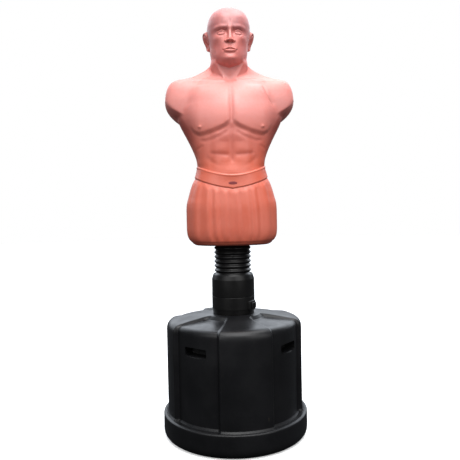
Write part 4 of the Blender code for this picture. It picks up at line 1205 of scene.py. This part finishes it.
make_torso(vinyl_skin())
make_badge(badge_ink())
make_tank(TANK_FINISH)
make_fill_cap(PLASTIC_FINISH)
make_collar(PLASTIC_FINISH)
make_latch(PLASTIC_FINISH, STEEL_FINISH)
make_screws(STEEL_FINISH)
make_pole(POLE_FINISH)

CARRIED_OVER = {
    "stem_socket": TANK_FINISH, "ballast_fill": water(), "fill_cap_seal": rubber(),
    "upper_guide_bush": NYLON_FINISH, "lower_guide_bush": NYLON_FINISH, "latch_spring": STEEL_FINISH,
    "pole_top_cap": NYLON_FINISH,
    "pole_foot_plug": NYLON_FINISH, "torso_core_tube": TANK_FINISH, "bearing_pad": NYLON_FINISH,
    "torso_base_plate": plywood(),
}
for node, finish in CARRIED_OVER.items():  # these nodes keep their CAD shape
    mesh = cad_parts[node].data
    mesh.materials.clear()
    mesh.materials.append(finish)


# ---- floor, light and camera --------------------------------------------------------------------

FLOOR_RADIUS, FLOOR_Z = 14.0, -0.0004
WORLD_BACK, WORLD_TOP, WORLD_LEVEL = 2.75, 0.5, 0.09  # the world's light behind, overhead and all round
CAMERA_PLACE, CAMERA_TARGET = (-0.115, -2.197, 0.907), (-0.0085, 0.0, 0.8148)
CAMERA_LENS, SENSOR_WIDTH = 42.73, 36.0  # mm
CAMERA_ROLL = -1.1               # degrees
SOFTBOXES = [  # name, place, aim, size, watts
    ("overhead_softbox", (0.2, -0.3, 3.3), (0.0, 0.0, 1.3), (2.8, 1.8), 76.0),
    ("front_softbox", (0.25, -2.1, 3.3), (0.0, 0.0, 1.2), (2.6, 1.6), 83.0),
    ("right_fill", (1.9, -2.6, 1.9), (0.0, 0.0, 1.0), (2.2, 2.2), 34.0),
    ("left_fill", (-1.9, -2.6, 1.9), (0.0, 0.0, 1.0), (2.2, 2.2), 33.0),
]


def make_floor():
    """A wide, pale disc just under the base, which is left out of bounced light and reflections."""
    bm = bmesh.new()
    bmesh.ops.create_circle(bm, cap_ends=True, segments=96, radius=FLOOR_RADIUS)
    mesh = bpy.data.meshes.new("studio_floor")
    bm.to_mesh(mesh)
    bm.free()
    floor = linked("studio_floor", mesh)
    floor.location = (0.0, 0.0, FLOOR_Z)
    floor.visible_diffuse = False
    floor.visible_glossy = False
    s = Shading("studio_floor", Specular_IOR_Level=0.0, Emission_Strength=0.42,
                Emission_Color=(1.0, 1.0, 1.0))
    tone = s.blend(s.noise(0.8, 3.0), (0.84, 0.84, 0.84), (0.88, 0.88, 0.88))
    mesh.materials.append(s.set(Base_Color=tone, Roughness=0.9))


def make_light(name, location, target, size, power):
    data = bpy.data.lights.new(name, "AREA")
    data.shape = "RECTANGLE"
    data.size, data.size_y = size
    data.energy = power
    light = linked(name, data)
    light.location = location
    light.rotation_euler = (Vector(target) - Vector(location)).to_track_quat("-Z", "Y").to_euler()


def make_world():
    """White to the camera. As light it is strong behind, weaker overhead and faint all round."""
    world = bpy.data.worlds.new("studio")
    world.use_nodes = True
    world.node_tree.nodes.clear()
    sky = Nodes(world.node_tree)
    place = sky.node("ShaderNodeTexCoord").outputs["Generated"]
    split = sky.node("ShaderNodeSeparateXYZ", {0: place}).outputs
    behind = sky.sum("MULTIPLY", sky.spread(split["Y"], 0.15, 0.75),
                     sky.spread(split["Z"], 0.09, 0.3, 0.0, WORLD_BACK))
    above = sky.spread(split["Z"], 0.45, 0.95, 0.0, WORLD_TOP)
    level = sky.spread(split["Z"], -1.4, 0.1, 0.0, WORLD_LEVEL)
    total = sky.sum("ADD", sky.sum("ADD", behind, above), level)
    glow = sky.node("ShaderNodeBackground", {"Color": (0.86, 0.92, 1.0), "Strength": total}).outputs[0]
    plain = sky.node("ShaderNodeBackground", {"Color": (1.0, 1.0, 1.0), "Strength": 1.0}).outputs[0]
    seen = sky.node("ShaderNodeLightPath").outputs["Is Camera Ray"]
    mixed = sky.node("ShaderNodeMixShader", {0: seen, 1: glow, 2: plain}).outputs[0]
    sky.node("ShaderNodeOutputWorld", {"Surface": mixed})
    bpy.context.scene.world = world


def make_camera():
    data = bpy.data.cameras.new("camera")
    data.lens = CAMERA_LENS
    data.sensor_width = SENSOR_WIDTH
    camera = linked("camera", data)
    camera.location = CAMERA_PLACE
    aim = (Vector(CAMERA_TARGET) - camera.location).to_track_quat("-Z", "Y").to_matrix().to_4x4()
    camera.rotation_euler = (aim @ spun(CAMERA_ROLL)).to_euler()
    bpy.context.scene.camera = camera


make_floor()
make_world()
for softbox in SOFTBOXES:
    make_light(*softbox)
make_camera()
bpy.context.scene.view_settings.view_transform = "Standard"
